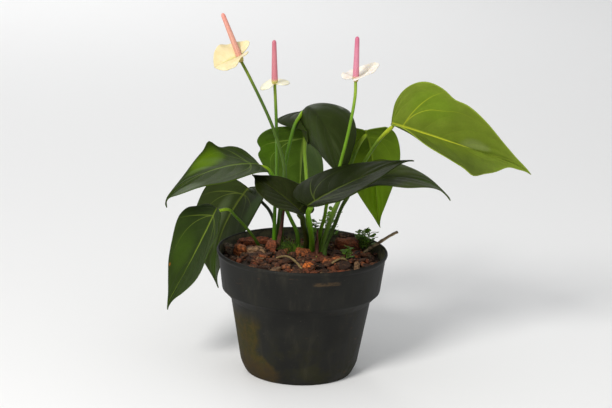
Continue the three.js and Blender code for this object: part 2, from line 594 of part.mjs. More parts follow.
function peduncle(bloom, grow = 0) {
  const path = [footOf(bloom.stalk[0]), ...bloom.stalk];
  return toManifold(stalk(path, peduncleRadius(grow), { steps: 14 }));
}

// A spadix: a blunt finger whose florets stand out as staggered bumps.
function spadix(bloom, grow = 0) {
  const base = vector(bloom.stalk.at(-1));
  const tip = vector(bloom.tip);
  const start = base.clone().lerp(tip, (GAP - grow) / base.distanceTo(tip));
  const steps = 16;
  const blunt = (t) => Math.sqrt(1 - Math.max(0, (t - 0.93) / 0.075) ** 2);
  const outline = (t) => (t < 0.06 ? 2.1 + 9 * t : 2.75 - 1.1 * t) * blunt(t);
  const bump = (i, k) => ((i + k) % 2 === 0 && i > 0 && i < steps ? 0.22 : 0);
  const radiusAt = (t, i) => (k) => Math.max(0.5, outline(t)) + bump(i, k) + grow;
  return toManifold(stalk([start.toArray(), tip.toArray()], radiusAt, { sides: 8, steps }));
}

// A spathe in a leaf's terms: it rises from the spadix just above its foot.
function spatheLeaf({ spathe, stalk: path, tip }) {
  const base = vector(path.at(-1));
  return { ...spathe, at: base.lerp(vector(tip), spathe.rise / base.distanceTo(vector(tip))).toArray() };
}

function rhizome(grow = 0) {
  const lumps = (t) => 4.6 + grow + 0.7 * Math.sin(t * 34);
  let solid = toManifold(stalk(RHIZOME, lumps, { sides: 7, steps: 12 }));
  ROOTS.forEach((path) => {
    solid = solid.add(toManifold(stalk(path, (t) => 1.8 - t + grow, { sides: 4, steps: 4 })));
  });
  return solid;
}

function sheath({ path, radius }, grow = 0) {
  return toManifold(stalk(path, (t) => grow + radius * (1 - 0.75 * t ** 2), { sides: 6, steps: 6 }));
}

function thinRoot({ path }, grow = 0) {
  return toManifold(stalk(path, () => 0.9 + grow, { sides: 5, steps: 10 }));
}

function twig(grow = 0) {
  return toManifold(stalk(TWIG, (t) => 1.6 - 0.4 * t + grow, { sides: 6, steps: 5 }));
}

// ---- assembly -----------------------------------------------------------------------------------

const plant = new THREE.Group();

function add(name, solid, material) {
  const mesh = new THREE.Mesh(toGeometry(solid), material);
  mesh.name = name;
  plant.add(mesh);
}

const crown = rhizome();
const crownSpace = rhizome(GAP);

const uprights = [];        // the holes in the ground
LEAVES.forEach((leaf) => {
  const bladeSolid = toManifold(blade(leaf, SHEET));
  const bladeSpace = toManifold(blade(leaf, SHEET, { grow: GAP }));
  const stalkSolid = mainBody(petiole(leaf).subtract(bladeSpace).subtract(crownSpace));
  add(`${leaf.name}_blade`, bladeSolid, materials.blade);
  add(`${leaf.name}_petiole`, stalkSolid, materials.stalk);
  uprights.push(petiole(leaf, GAP));
});
BLOOMS.forEach((bloom) => {
  const sheet = blade(spatheLeaf(bloom), SPATHE_SHEET, { outline: SPATHE_MARGIN, rows: 10 });
  const spathe = mainBody(
    toManifold(sheet).subtract(spadix(bloom, GAP)).subtract(peduncle(bloom, GAP)));
  add(`${bloom.name}_peduncle`, mainBody(peduncle(bloom).subtract(crownSpace)), materials.stalk);
  add(`${bloom.name}_spathe`, spathe, materials.spathe);
  add(`${bloom.name}_spadix`, spadix(bloom), materials.spadix);
  uprights.push(peduncle(bloom, GAP));
});
SHEATHS.forEach((spec) => {
  add(spec.name, sheath(spec), materials.sheath);
  uprights.push(sheath(spec, GAP));
});
AERIAL_ROOTS.forEach((spec) => {
  add(spec.name, thinRoot(spec), materials.root);
  uprights.push(thinRoot(spec, GAP));
});
add('twig', twig(), materials.twig);
uprights.push(twig(GAP));

const next = random(7);
WEEDS.forEach((spec) => {
  const weed = makeWeed(spec, next);
  add(spec.name, weed, materials.weed);
  const [x, y] = spec.at;
  const { radius, bottom, top } = seedlingRoom;
  uprights.push(toManifold(stalk([[x, y, bottom], [x, y, top]], () => radius, { sides: 6, steps: 1 })));
});

const ground = groundSpace(GAP);
let soil = makeSoil().subtract(crownSpace);
let mulch = makeMulch(random(3)).subtract(ground);
uprights.forEach((space) => {
  soil = soil.subtract(space);
  mulch = mulch.subtract(space);
});
let moss = makeMoss(random(5)).subtract(ground);
uprights.forEach((space) => {
  moss = moss.subtract(space);
});
moss = mainBody(moss);
add('moss_tuft', moss, materials.moss);
mulch = mulch.subtract(cushion(MOSS_ROOM, MOSS_ROOM / 2));

CHUNKS.forEach((spec, i) => {
  let chunk = makeChunk(spec, random(20 + i)).subtract(ground);
  uprights.forEach((space) => {
    chunk = chunk.subtract(space);
  });
  chunk = mainBody(chunk);
  add(spec.name, chunk, finish(spec.color, 0.95));
  mulch = mulch.subtract(makeChunk(spec, random(20 + i), CHUNK_ROOM));
});

add('potting_mix', mainBody(soil), materials.soil);
add('bark_mulch', mainBody(mulch), materials.bark);
add('rhizome', crown, materials.rhizome);
add('pot', makePot(), materials.pot);

export default plant;
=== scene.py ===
"""The looks of a flowering anthurium in a round plastic nursery pot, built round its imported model.

Metres, +Z up. Shapes are worked out in millimetres, as on a drawing, and scaled once when a mesh is made.
"""

import math

import bpy
import numpy as np
from mathutils import Matrix, Vector, noise


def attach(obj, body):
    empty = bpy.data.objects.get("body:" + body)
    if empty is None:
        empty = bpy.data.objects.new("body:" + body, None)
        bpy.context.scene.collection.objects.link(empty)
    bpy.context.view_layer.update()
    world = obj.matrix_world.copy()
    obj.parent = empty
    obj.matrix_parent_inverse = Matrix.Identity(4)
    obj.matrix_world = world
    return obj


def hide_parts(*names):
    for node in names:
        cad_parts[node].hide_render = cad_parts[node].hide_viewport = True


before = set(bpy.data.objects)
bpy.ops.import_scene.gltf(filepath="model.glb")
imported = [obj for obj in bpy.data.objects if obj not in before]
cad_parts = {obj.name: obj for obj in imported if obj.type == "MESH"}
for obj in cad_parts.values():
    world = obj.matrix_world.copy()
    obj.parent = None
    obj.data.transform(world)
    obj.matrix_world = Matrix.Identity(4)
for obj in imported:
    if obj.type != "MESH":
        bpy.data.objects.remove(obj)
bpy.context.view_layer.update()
noise.seed_set(1)     # without a seed, noise_vector takes its offsets from the clock

MM = 0.001
ROOT = "root"
CIRCLE = 2 * math.pi
TURN = 6.28         # a random turn is drawn up to here
SPIRAL = 2.4        # from one leaf or sprig to the next

# ---- driving dimensions, in mm ----

POT = dict(height=110, rim=75, wall=1.8, floor=2.4, lip=2.6, collar=69.5, collar_drop=35, slant=8,
           body_top=61.5, body_bottom=52, base=46.5, edge=12,
           holes=8, hole_radius=4, hole_circle=36, hole_turn=0.5)
SOIL_TOP = 94
MOUND = 3
MULCH = 4.6
CHIPS = 12
GAP = 0.3
STALK_RADIUS = 1.5
SHEATH_RADIUS = 2
ROOTED = 88         # the height at which the stalks end, at the rhizome
SEATED = 2.5        # how far a stalk runs on below the midrib

# Each leaf: where its stalk joins the blade, heading, veer and pitch of the midrib, size, roll, fold, curl,
# the depth of its two lobes and their lift, waves, the hook of its tip, dents of its margin (half, place,
# depth), and its stalk from the blade down.
LEAVES = [
    dict(name="leaf_right_high", at=(73.5, 2.5, 224.5), heading=4, veer=-14, pitch=(-16, -16),
         bend=1.2, length=130, width=95, roll=(-41, -90), fold=42, curl=-24,
         lobe=(0.02, 0.02), lift=8, wave=3.7, phase=1.6, hook=-32,
         dents=[(-1, 0.34, 0.07), (1, 0.61, -0.28), (1, 0.84, 0.43)],
         stalk=[(66, 10, 211), (56, 30, 190), (43, 33, 166), (28.5, 22, 144.5), (25, 19, 136),
                (22.5, 16, 128.5), (19.5, 11, 119.5), (17.5, 7.5, 110.5), (16, 5, 103)]),
    dict(name="leaf_back_centre", at=(-3.5, 60.5, 220), heading=-75, veer=33, pitch=(71, -78),
         bend=0.45, length=111, width=73, roll=(-38, -65), fold=-19, curl=62,
         lobe=(0.02, 0.26), lift=64, wave=3.1, phase=4.3,
         dents=[(-1, 0.04, -0.19)],
         stalk=[(-4.5, 54, 219.5), (-6.5, 47.5, 217.5), (-9, 42.5, 214.5), (-11, 40, 210),
                (-13, 39, 201.5), (-15.5, 40, 189.5), (-17.5, 41, 175.5), (-19, 41, 157),
                (-20.5, 40, 139), (-22, 38, 118), (-22, 37, 104)]),
    dict(name="leaf_back_left", at=(-1.5, 67.5, 200), heading=111, veer=-23, pitch=(-71, -95),
         bend=0.85, length=84, width=87, roll=(27, -14), fold=27, curl=-32,
         lobe=(0.07, 0.08), lift=-8, wave=1.1, phase=4,
         dents=[(-1, 0.28, 0.11)],
         stalk=[(-1, 62, 186), (1, 55, 167), (3, 44, 147), (3.5, 34, 125), (3, 24, 104)]),
    dict(name="leaf_front_left", at=(-0.5, -44.5, 154), heading=153, veer=-16, pitch=(33, 15),
         bend=1.15, length=61, width=61, roll=(-10, 15), fold=14, curl=17,
         lobe=(0.07, 0.05), lift=-2, wave=1.1, phase=3.4, hook=-11, girth=1.5,
         stalk=[(-1, -36, 148), (0, -24, 139), (2, -10, 128.5), (3.5, 4, 116.5), (3, 15, 104)]),
    dict(name="leaf_front_right", at=(3.5, -64.5, 166), heading=30, veer=-9, pitch=(33, 15),
         bend=0.3, length=105, width=72, roll=(0, 1), fold=10, curl=3,
         lobe=(0.02, -0.11), lift=0, wave=0.4, phase=3.1, hook=-22, girth=1.35,
         stalk=[(4, -52, 156.5), (5.5, -36, 144.5), (7, -18, 130.5), (8, -4, 119.5), (8.5, 8.5, 105)]),
    dict(name="leaf_back_right", at=(53, 43, 208), heading=70, veer=-1, pitch=(-27, -77),
         bend=0.3, length=115, width=52, roll=(5, 48), fold=12, curl=2,
         lobe=(0.05, 0.04), lift=-10, wave=2, phase=0.5, hook=39,
         stalk=[(49, 41, 200), (42, 39, 183), (36, 36, 160), (28, 30, 138), (20, 24, 117),
                (16, 19, 104)]),
    dict(name="leaf_right_low", at=(35.5, -10, 162), heading=-1, veer=27, pitch=(46, -45),
         bend=0.85, length=107, width=74, roll=(3, -14), fold=9, curl=7,
         lobe=(0.04, 0.04), lift=0, wave=2.7, phase=4.5, hook=-10,
         stalk=[(33.5, -5, 151.5), (31, -2, 144), (28.5, 0, 135.5), (25, 1, 126), (22, 0.5, 118),
                (20, -0.5, 111), (19.5, -2, 103)]),
    dict(name="leaf_left_high", at=(-40.5, 2.5, 184.5), heading=203, veer=-39, pitch=(11, -50),
         bend=0.8, length=98, width=80, roll=(5, 15), fold=-6, curl=-26,
         lobe=(0.02, 0.02), lift=1, wave=2, phase=1.7, hook=-63,
         dents=[(1, 0.27, 0.06), (1, 0.37, -0.21)],
         stalk=[(-32, 9, 178.5), (-22, 14, 159), (-15.5, 17, 141.5), (-11, 18, 132), (-5, 19, 119),
                (-3.5, 20, 104)]),
    dict(name="leaf_left_middle", at=(-51.5, 104.5, 137), heading=223, veer=-29, pitch=(-41, -106),
         bend=1.15, length=102, width=84, roll=(1, 15), fold=19, curl=12,
         lobe=(0.02, 0.02), lift=0, wave=1.5, phase=0.6,
         stalk=[(-47, 90, 138.5), (-39, 78, 132), (-32, 66, 128), (-27.5, 56, 122.5),
                (-24, 48, 111.5), (-23, 44, 102.5)]),
    dict(name="leaf_left_low", at=(-75, -9, 147), heading=197, veer=-2, pitch=(-66, -60),
         bend=1, length=100, width=74, roll=(8, 24), fold=4, curl=-21,
         lobe=(-0.14, -0.1), lift=0, wave=1.4, phase=4.6, hook=-27, girth=0.8,
         stalk=[(-65.5, -7, 145.5), (-59.5, -3, 139), (-53, 3, 130.5), (-45.5, 11, 119.5),
                (-40.5, 18, 110), (-37.5, 24, 102)]),
]

# Each bloom: the spadix's tip, the flower stalk from its foot up, and the spathe, rise above its end.
BLOOMS = [
    dict(name="bloom_left", tip=(-75.5, 20, 313),
         stalk=[(-18.5, 32.5, 103), (-19, 32.5, 118), (-19, 31, 132), (-18, 29, 146.5),
                (-17, 24, 166), (-19.5, 20, 185), (-30, 19, 216), (-50, 18, 257), (-58, 20, 271)],
         spathe=dict(rise=5, heading=194, veer=11, pitch=(-20, -24), bend=1, length=24, width=33,
                     roll=(15, 51), fold=31, curl=16, lobe=(0.33, 0.56), lift=12, wave=1.2, phase=1.5)),
    dict(name="bloom_middle", tip=(-30.3, 26, 290),
         stalk=[(-25.5, 30, 104), (-25.5, 30, 123), (-25.5, 30, 139.5), (-25, 30, 155),
                (-25, 28, 183), (-26.5, 26, 219), (-28.7, 26, 251)],
         spathe=dict(rise=0.5, heading=94, veer=5, pitch=(-5, 3), bend=1, length=25, width=28,
                     roll=(13, 13), fold=-7, curl=13, lobe=(0.39, 0.31), lift=-4, wave=0.4, phase=6.1)),
    dict(name="bloom_right", tip=(41, 0, 300),
         stalk=[(14.5, 14, 104), (15, 13, 117), (16, 9, 127), (18.5, 2, 139), (20, -6, 153),
                (24, -10, 166.5), (30, -10, 189), (37, -9, 222), (41, -3, 249), (41, 0, 261)],
         spathe=dict(rise=3, heading=50, veer=12, pitch=(-3, 41), bend=1, length=30, width=34,
                     roll=(7, 23), fold=15, curl=1, lobe=(0.26, 0.39), lift=-16, wave=0.6, phase=2.7)),
]

SHEATHS = {
    "sheath_left": [(-21, 24.5, 94), (-21, 25, 108), (-19.5, 26, 121.5), (-17.5, 25.5, 136),
                    (-16.5, 25, 146.5)],
    "sheath_centre": [(12.8, 0, 94), (12.8, 0, 112), (12.8, 1, 128)],
    "sheath_bud": [(12.5, -7, 94), (12.5, -7, 101), (12.5, -7, 106)],
}
TWIG = [(50, 20.5, 96), (55, 21, 102.5), (60, 22, 106.5), (67, 22, 111.5), (77, 22, 118.5), (84, 22, 122.5)]
AERIAL_ROOTS = {
    "aerial_root_front": [(-27, -11, 97), (-26, -12, 101), (-22.5, -15, 105), (-18, -19, 108),
                          (-11.5, -26, 110), (-5, -33, 107.5), (0.5, -40, 102.5), (2, -42, 98)],
    "aerial_root_right": [(22, -22, 97), (24.5, -22, 102.5), (29.5, -21, 106.5), (34.5, -19, 108),
                          (39, -17, 105.5), (41, -16, 98)],
}
CHUNKS = [
    # name    middle              size           turn  tint
    ("grey", (-65, 12.5, 104.5), (7.5, 8.5, 9), 12, "grey"),
    ("orange", (-54.6, 10, 104), (11.5, 11, 10), -10, "orange"),
    ("tan", (-40.5, 9, 103.5), (15.5, 10, 8), 8, "tan"),
    ("red", (39.5, 35, 105.5), (24, 13, 11), 8, "red"),
    ("middle", (1.2, 3.5, 103.5), (15, 11, 10.5), -14, "orange"),
    ("bright", (6, -33, 102.5), (13, 8, 6.5), 10, "bright"),
    ("dark", (29, 10, 103), (16, 6, 6), 35, "dark"),
    ("back", (-42.5, 36, 105.5), (31, 8, 5), 10, "red"),
    ("block", (-27.2, 17, 104.5), (9.5, 10, 13), -6, "red"),
    ("front", (26.5, -13, 102.5), (18, 9, 7), 12, "orange"),
    ("rear", (39.5, 47, 106), (16, 9.5, 13), 15, "dark"),
]
WEEDS = [
    # name         foot            height  spread  leaves
    ("right_rim", (57, 29.5, 98), 20, 8.5, 7),
    ("right", (52.5, 39, 98), 20, 5.5, 6),
    ("back", (23, 48, 98), 33, 10, 8),
    ("centre", (10, 48, 98), 25, 6, 5),
    ("front", (39, -8, 98), 16, 4, 3),
]
MOSS = dict(at=(-11, 18, 99), radius=9, height=16)

# ---- camera, light and floor ----

CAMERA = dict(lens=120.8, pitch=14.54, yaw=0.064, roll=1.9, at=(0, -1.732, 0.6001))
LAMPS = [
    # name      place               aim            size  power  colour
    ("key", (-1.0, -1.9, 1.75), (0, 0, 0.12), 0.8, 57, (1, 0.985, 0.96)),
    ("fill", (1.6, -1.6, 0.9), (0, 0, 0.12), 1.6, 3, (0.95, 0.97, 1)),
    ("backdrop", (-0.7, 2.3, 1.4), (-0.3, 1.9, 0), 0.9, 11, (1, 1, 1)),
]
SKY = (0.97, 0.98, 1, 1)
SKY_STRENGTH = 0.58
PAPER = (0.84, 0.84, 0.835, 1)


def look():
    """The camera, a pale sweep, a big soft lamp at the front left, and a pale sky that fills the shadows."""
    scene = bpy.context.scene
    camera = bpy.data.cameras.new("camera")
    camera.sensor_width = 36
    camera.lens = CAMERA["lens"]
    camera.clip_start, camera.clip_end = 0.05, 20
    eye = place_in_scene("camera", camera)
    eye.matrix_world = Matrix.Translation(CAMERA["at"])
    for angle, axis in ((-CAMERA["yaw"], "Z"), (90 - CAMERA["pitch"], "X"), (CAMERA["roll"], "Z")):
        eye.matrix_world = eye.matrix_world @ Matrix.Rotation(math.radians(angle), 4, axis)
    scene.camera = eye

    for name, place, aim, size, power, colour in LAMPS:
        light = bpy.data.lights.new(name, "AREA")
        light.shape = "DISK"
        light.size, light.energy, light.color = size, power, colour
        lamp = place_in_scene(name, light)
        lamp.location = place
        lamp.rotation_euler = (Vector(aim) - Vector(place)).to_track_quat("-Z", "Y").to_euler()

    world = bpy.data.worlds.new("sky")
    world.use_nodes = True
    background = world.node_tree.nodes["Background"].inputs
    background["Color"].default_value = SKY
    background["Strength"].default_value = SKY_STRENGTH
    scene.world = world
    scene.view_settings.view_transform = "Standard"
    scene.view_settings.look = "None"
    sweep("floor", Shader("floor", ior=1.5).finished(PAPER, 0.85))


def place_in_scene(name, data):
    thing = bpy.data.objects.new(name, data)
    bpy.context.scene.collection.objects.link(thing)
    return thing


def sweep(name, material):
    """A floor, in metres, that curves up into a back wall, far behind."""
    half, front, back, high, radius = 6.0, -6.0, 5.0, 5.0, 1.5
    start = back - radius
    curve = [(start + radius * math.sin(a), radius - radius * math.cos(a))
             for a in np.linspace(0, math.pi / 2, 13)]
    profile = [(front, 0.0), *curve, (back, high)]
    points = [(x, y, z) for y, z in profile for x in (-half, half)]
    faces = [(2 * k, 2 * k + 1, 2 * k + 3, 2 * k + 2) for k in range(len(profile) - 1)]
    mesh = bpy.data.meshes.new(name)
    mesh.from_pydata(points, [], faces)
    mesh.materials.append(material)
    mesh.shade_smooth()
    return place_in_scene(name, mesh)


# ---- materials ----


def srgb(red, green, blue):
    """A colour as a screen shows it, 0 to 255, as linear light."""
    shown = (red / 255, green / 255, blue / 255)
    return (*(v / 12.92 if v <= 0.04045 else ((v + 0.055) / 1.055) ** 2.4 for v in shown), 1.0)


class Value:
    """A number or colour that a material works out at each point, with arithmetic; a | b is the larger."""

    def __init__(self, shader, socket):
        self.shader = shader
        self.socket = socket

    def __add__(self, other):
        return self.shader.math("ADD", self, other)

    def __sub__(self, other):
        return self.shader.math("SUBTRACT", self, other)

    def __mul__(self, other):
        return self.shader.math("MULTIPLY", self, other)

    def __truediv__(self, other):
        return self.shader.math("DIVIDE", self, other)

    def __or__(self, other):
        return self.shader.math("MAXIMUM", self, other)

    def __abs__(self):
        return self.shader.math("ABSOLUTE", self)

    def span(self, low, high, out_low=0.0, out_high=1.0):
        """Itself from low..high to out_low..out_high, held at both ends, with soft corners."""
        return self.shader.node("ShaderNodeMapRange", {0: self, 1: low, 2: high, 3: out_low, 4: out_high},
                                interpolation_type="SMOOTHSTEP")

    def ramp(self, *stops):
        """A colour for each value; stops are (place, colour)."""
        result = self.shader.node("ShaderNodeValToRGB", {"Fac": self})
        elements = result.socket.node.color_ramp.elements
        while len(elements) < len(stops):
            elements.new(0.5)
        for element, (place, colour) in zip(elements, stops):
            element.position = place
            element.color = srgb(*colour)
        return result


class Shader:
    """A material's nodes, with a short call for each kind; colours are as a screen shows them, 0 to 255."""

    def __init__(self, name, ior=1.45, specular=0.5, tint=(1, 1, 1, 1), glow=(0, (1, 1, 1), 1)):
        """glow: the share of light that goes in, how far its red, green and blue go, and their unit in mm."""
        self.material = bpy.data.materials.new(name)
        self.material.use_nodes = True
        self.tree = self.material.node_tree
        self.surface = self.tree.nodes["Principled BSDF"].inputs
        share, reach, unit = glow
        fixed = {"IOR": ior, "Specular IOR Level": specular, "Specular Tint": tint,
                 "Subsurface Weight": share, "Subsurface Radius": reach, "Subsurface Scale": unit * MM}
        for socket, value in fixed.items():
            self.surface[socket].default_value = value

    def node(self, kind, inputs, output=0, **settings):
        """One output of a new node, whose inputs are numbers or values."""
        node = self.tree.nodes.new(kind)
        for key, value in settings.items():
            setattr(node, key, value)
        for key, value in inputs.items():
            self.feed(node.inputs[key], value)
        return Value(self, node.outputs[output])

    def feed(self, socket, value):
        if isinstance(value, Value):
            self.tree.links.new(value.socket, socket)
        else:
            socket.default_value = value

    def math(self, operation, *values):
        return self.node("ShaderNodeMath", dict(enumerate(values)), operation=operation)

    def mix(self, share, a, b):
        """Colour a with that share of b."""
        a, b = (srgb(*colour) if isinstance(colour, tuple) else colour for colour in (a, b))
        return self.node("ShaderNodeMix", {0: share, 6: a, 7: b}, output=2, data_type="RGBA")

    def attribute(self, name, output="Fac"):
        return self.node("ShaderNodeAttribute", {}, output, attribute_name=name)

    def split(self, vector):
        """A vector's three numbers."""
        x = self.node("ShaderNodeSeparateXYZ", {0: vector})
        return [Value(self, socket) for socket in x.socket.node.outputs]

    def place(self, stretch=(1, 1, 1)):
        """The point in mm, stretched."""
        spot = self.node("ShaderNodeTexCoord", {}, "Object")
        return self.node("ShaderNodeMapping", {"Vector": spot, "Scale": [s / MM for s in stretch]})

    def noise(self, size, detail=3, rough=0.5, stretch=(1, 1, 1), distortion=0):
        """A noise whose features are about that many mm wide."""
        return self.node("ShaderNodeTexNoise", {
            "Vector": self.place(stretch), "Scale": 1 / size, "Detail": detail, "Roughness": rough,
            "Distortion": distortion})

    def cells(self, size):
        """The distance to the edges of a net whose meshes are about that many mm wide."""
        return self.node("ShaderNodeTexVoronoi", {"Vector": self.place(), "Scale": 1 / size},
                         feature="DISTANCE_TO_EDGE")

    def lines(self, row, pitch, count, width, core):
        """Lines at even rows, 1 in the core of their width in mm; pitch is the mm of all the rows."""
        near = self.math("PINGPONG", row * count, 0.5)
        return (near / self.math("DIVIDE", count * width, pitch)).span(core, 1, 1, 0)

    def finished(self, colour, roughness, relief=None, depth=0):
        """The material with that colour, roughness and relief, which is depth mm deep."""
        self.feed(self.surface["Base Color"], colour)
        self.feed(self.surface["Roughness"], roughness)
        if relief:
            bump = self.node("ShaderNodeBump", {"Height": relief, "Distance": depth * MM, "Strength": 1})
            self.feed(self.surface["Normal"], bump)
        return self.material


BLACK = (0, 0, 0)
LATERALS = 10           # pairs of side veins on a blade
SWEEP = 0.13            # how far the side veins sweep towards the tip, as a share of the rows
JOINT = 0.39            # the row at which the stalk meets the blade
BASAL = (0.3, 0.07)     # how far the two main veins of each half sweep ahead of the joint


def leaf_material(name, colours, painted_light_and_spots, shine):
    """Satin green above and paler, duller below, with a pale midrib, side veins and a net between them."""
    upper, lower, vein, rib = colours
    shader = Shader(name, specular=shine, tint=(0.8, 1, 0.5, 1), glow=(0.15, (0.5, 1, 0.2), 1.2))
    row, across, pitch = shader.split(shader.attribute("leaf", "Vector"))
    under = shader.attribute("under")
    away = abs(across)
    swept = row - away * away * SWEEP

    lateral = shader.lines(swept, pitch, LATERALS, 0.6, 0.35) * away.span(0.15, 0.97, 1, 0.15)
    small = shader.lines(swept, pitch, LATERALS * 4, 0.32, 0.35) * 0.35
    net = shader.cells(3.2).span(0, 0.09, 0.3, 0)
    collective = abs(away - 0.93).span(0, 0.012, 0.5, 0)
    veins = lateral * 0.6 | (small | net | collective) * 0.5
    mains = 0
    for reach in BASAL:
        off = abs(row - away * away * reach - JOINT) * pitch
        mains = off.span(0.3, 0.7, 1, 0) * away.span(0.5, 0.95, 1, 0.2) | mains

    speckle = shader.noise(1.4, 3, 0.6)
    top, low = upper, lower
    # patches of painted light and shade, painted sheen and painted highlights, with a few spots of the leaf's
    # own colour, laid on both faces
    for middle, side, long, wide, share, tint in painted_light_and_spots:
        ahead = (row - middle) / long
        aside = (across - side) / wide
        painted_light_and_spot_share = (ahead * ahead + aside * aside + shader.noise(11) * 0.7).span(0.35, 1.6, share, 0)
        top = shader.mix(painted_light_and_spot_share, top, tint)
        low = shader.mix(painted_light_and_spot_share, low, tint)
    colour = shader.mix(under, shader.mix(veins * 0.42, top, vein), shader.mix(veins * 0.55, low, vein))
    colour = shader.mix(shader.noise(22, 4, 0.55).span(0.3, 0.7, 0.78, 1), BLACK, colour)
    colour = shader.mix(speckle.span(0.35, 0.7, 0, 0.16), colour, shader.mix(0.5, upper, BLACK))
    colour = shader.mix(away.span(0.975, 1, 0, 0.5), colour, vein)
    colour = shader.mix(mains * 0.5, colour, rib)
    colour = shader.mix(shader.attribute("rib"), colour, rib)
    return shader.finished(colour, shader.noise(5) * 0.14 + 0.38 + under * 0.2, speckle * 0.25 - veins, 0.14)


def stalk_material(name):
    """A smooth stalk, fresh at its upper end and duller towards its foot, with painted shade on some stalks.
    """
    low, middle, high = STALK_GREENS_AND_SHADE[name]
    shader = Shader(f"{name}_stalk", specular=0.2, glow=(0.1, (0.6, 1, 0.3), 1))
    rise = shader.attribute("rise")
    colour = rise.ramp((0, STALK_FOOT), (0.1, low), (0.5, middle), (0.84, middle), (0.95, high))
    streak = shader.noise(1, 3, 0.6, (1, 1, 0.09))
    colour = shader.mix(streak.span(0.35, 0.65, 0, 0.3), colour, shader.mix(0.55, colour, BLACK))
    colour = shader.mix(shader.noise(0.9, 2).span(0.62, 0.75, 0, 0.15), colour, (176, 190, 110))
    return shader.finished(colour, streak * 0.2 + 0.34, streak, 0.12)


def spathe_material(name, face, shade, foot):
    """Waxy cream, with faint veins and a greener foot."""
    shader = Shader(name, glow=(0.35, (1, 0.9, 0.6), 2))
    row, across, pitch = shader.split(shader.attribute("leaf", "Vector"))
    veins = shader.lines(row, pitch, 9, 0.3, 0.3)
    colour = shader.mix(shader.noise(6).span(0.35, 0.65, 0, 0.5), face, shade)
    colour = shader.mix(veins * 0.3, colour, shade)
    colour = shader.mix(shader.attribute("rib"), colour, shade)
    colour = shader.mix((row * abs(across)).span(0, 0.1, 0.5, 0), colour, foot)
    return shader.finished(colour, shader.noise(2, 2) * 0.15 + 0.34, veins, 0.08)


def spadix_material(name, body, tip, foot):
    """Pink florets, with painted shade in the gaps between them, and a fresh green foot."""
    shader = Shader(name, glow=(0.1, (1, 0.4, 0.3), 1))
    colour = shader.attribute("rise").ramp((0, foot), (0.05, foot), (0.13, body), (0.6, body), (1, tip))
    # painted shade: the gaps between the florets are darkened
    dark = shader.mix(0.5, colour, (150, 70, 70))
    colour = shader.mix(shader.attribute("shade_between_florets").span(0.1, 0.75, 0, 0.8), colour, dark)
    colour = shader.mix(shader.noise(0.5, 2).span(0.5, 0.75, 0, 0.25), colour, (250, 225, 205))
    return shader.finished(colour, 0.5)


INNER_SLOPE = 0.117     # how much the collar widens with height
INNER_EDGE = 59.8       # between the collar's inside and its outside, less that widening


def pot_material():
    """Charcoal moulded plastic: algae low on the left, a film on the body, rusty rubs, dust and splashes."""
    shader = Shader("pot_plastic", ior=1.46, specular=0.12)
    x, y, z = shader.split(shader.place())
    colour = shader.mix(shader.noise(30).span(0.3, 0.7), (26, 26, 24), (32, 32, 29))
    # dust that the watering washed down, in vertical streaks
    dusty = shader.noise(7, 5, 0.65, (1, 1, 0.16)).span(0.46, 0.75) * shader.noise(28, 2).span(0.35, 0.65)
    colour = shader.mix(dusty * 0.26, colour, (76, 72, 60))
    # algae: an orange-olive stain low on the left, which runs on along the bottom edge and is browner there
    beyond = x - z.span(30, 10, -36, -17) + (shader.noise(11, 5, 0.6) * 18 - 9)
    algae = beyond.span(4, -5) * z.span(66, 48) * shader.noise(9, 6, 0.68).span(0.3, 0.6, 0.55, 1)
    tone = shader.mix(shader.noise(6, 4, 0.7).span(0.35, 0.65), (76, 62, 20), (56, 54, 22))
    tone = shader.mix(z.span(24, 12, 0, 0.7), tone, (66, 50, 30))
    colour = shader.mix(algae * 0.72, colour, tone)
    # a thinner green-brown film that grows stronger towards the bottom
    film = z.span(62, 12) * shader.noise(18, 5, 0.66).span(0.42, 0.66)
    colour = shader.mix(film * 0.42, colour, (50, 49, 26))
    # the inside wall of the collar, from about 80 mm up, is made paler and greyer
    within = shader.math("SQRT", x * x + y * y) - z * INNER_SLOPE
    inside = within.span(INNER_EDGE + 0.3, INNER_EDGE - 0.3) * z.span(78, 82)
    lining = shader.mix(shader.noise(6, 5, 0.65).span(0.35, 0.65), (66, 66, 56), (104, 100, 74))
    colour = shader.mix(inside * 0.9, colour, lining)
    # a pale rub just below the rim at the front
    rub = abs(z - 99).span(2.2, 1.2) * abs(x - 22).span(13, 9) * y.span(-10, -20)
    rub = rub * shader.noise(3, 3, 0.6, (0.5, 0.5, 1)).span(0.35, 0.6)
    colour = shader.mix(rub * 0.6, colour, (80, 64, 44))
    # faint rusty rubs and fine splashes all over
    rusty = shader.noise(4, 4, 0.6, (0.35, 0.35, 1.3)).span(0.64, 0.74) * shader.noise(26, 1).span(0.5, 0.6)
    colour = shader.mix(rusty * 0.25, colour, (92, 62, 44))
    colour = shader.mix(shader.noise(1.5, 2).span(0.7, 0.76) * 0.25, colour, (96, 90, 76))
    dirt = algae | dusty | film
    return shader.finished(colour, dirt * 0.25 + 0.55, shader.noise(0.7, 2) * 0.3 + dirt * 0.7, 0.1)


def bark_material():
    """Fibrous bark: each piece has its own tint, with darker cracks, paler scuffs and a corky grain."""
    shader = Shader("bark_pieces", ior=1.4)
    tint = shader.attribute("tint", "Color")
    grain = shader.noise(1.7, 5, 0.7, (1, 1, 2.2), distortion=0.6)
    pits = shader.noise(3.2, 4, 0.7)
    colour = shader.mix(grain.span(0.36, 0.6, 0.9, 0), tint, shader.mix(0.85, tint, (20, 12, 8)))
    colour = shader.mix(pits.span(0.4, 0.5, 0.75, 0), colour, (30, 20, 13))
    colour = shader.mix(shader.noise(4, 4, 0.6).span(0.55, 0.72, 0, 0.5), colour, (166, 112, 74))
    colour = shader.mix(shader.noise(0.6, 2).span(0.62, 0.75, 0, 0.3), colour, (186, 152, 118))
    return shader.finished(colour, grain * 0.2 + 0.7, grain + pits, 0.8)


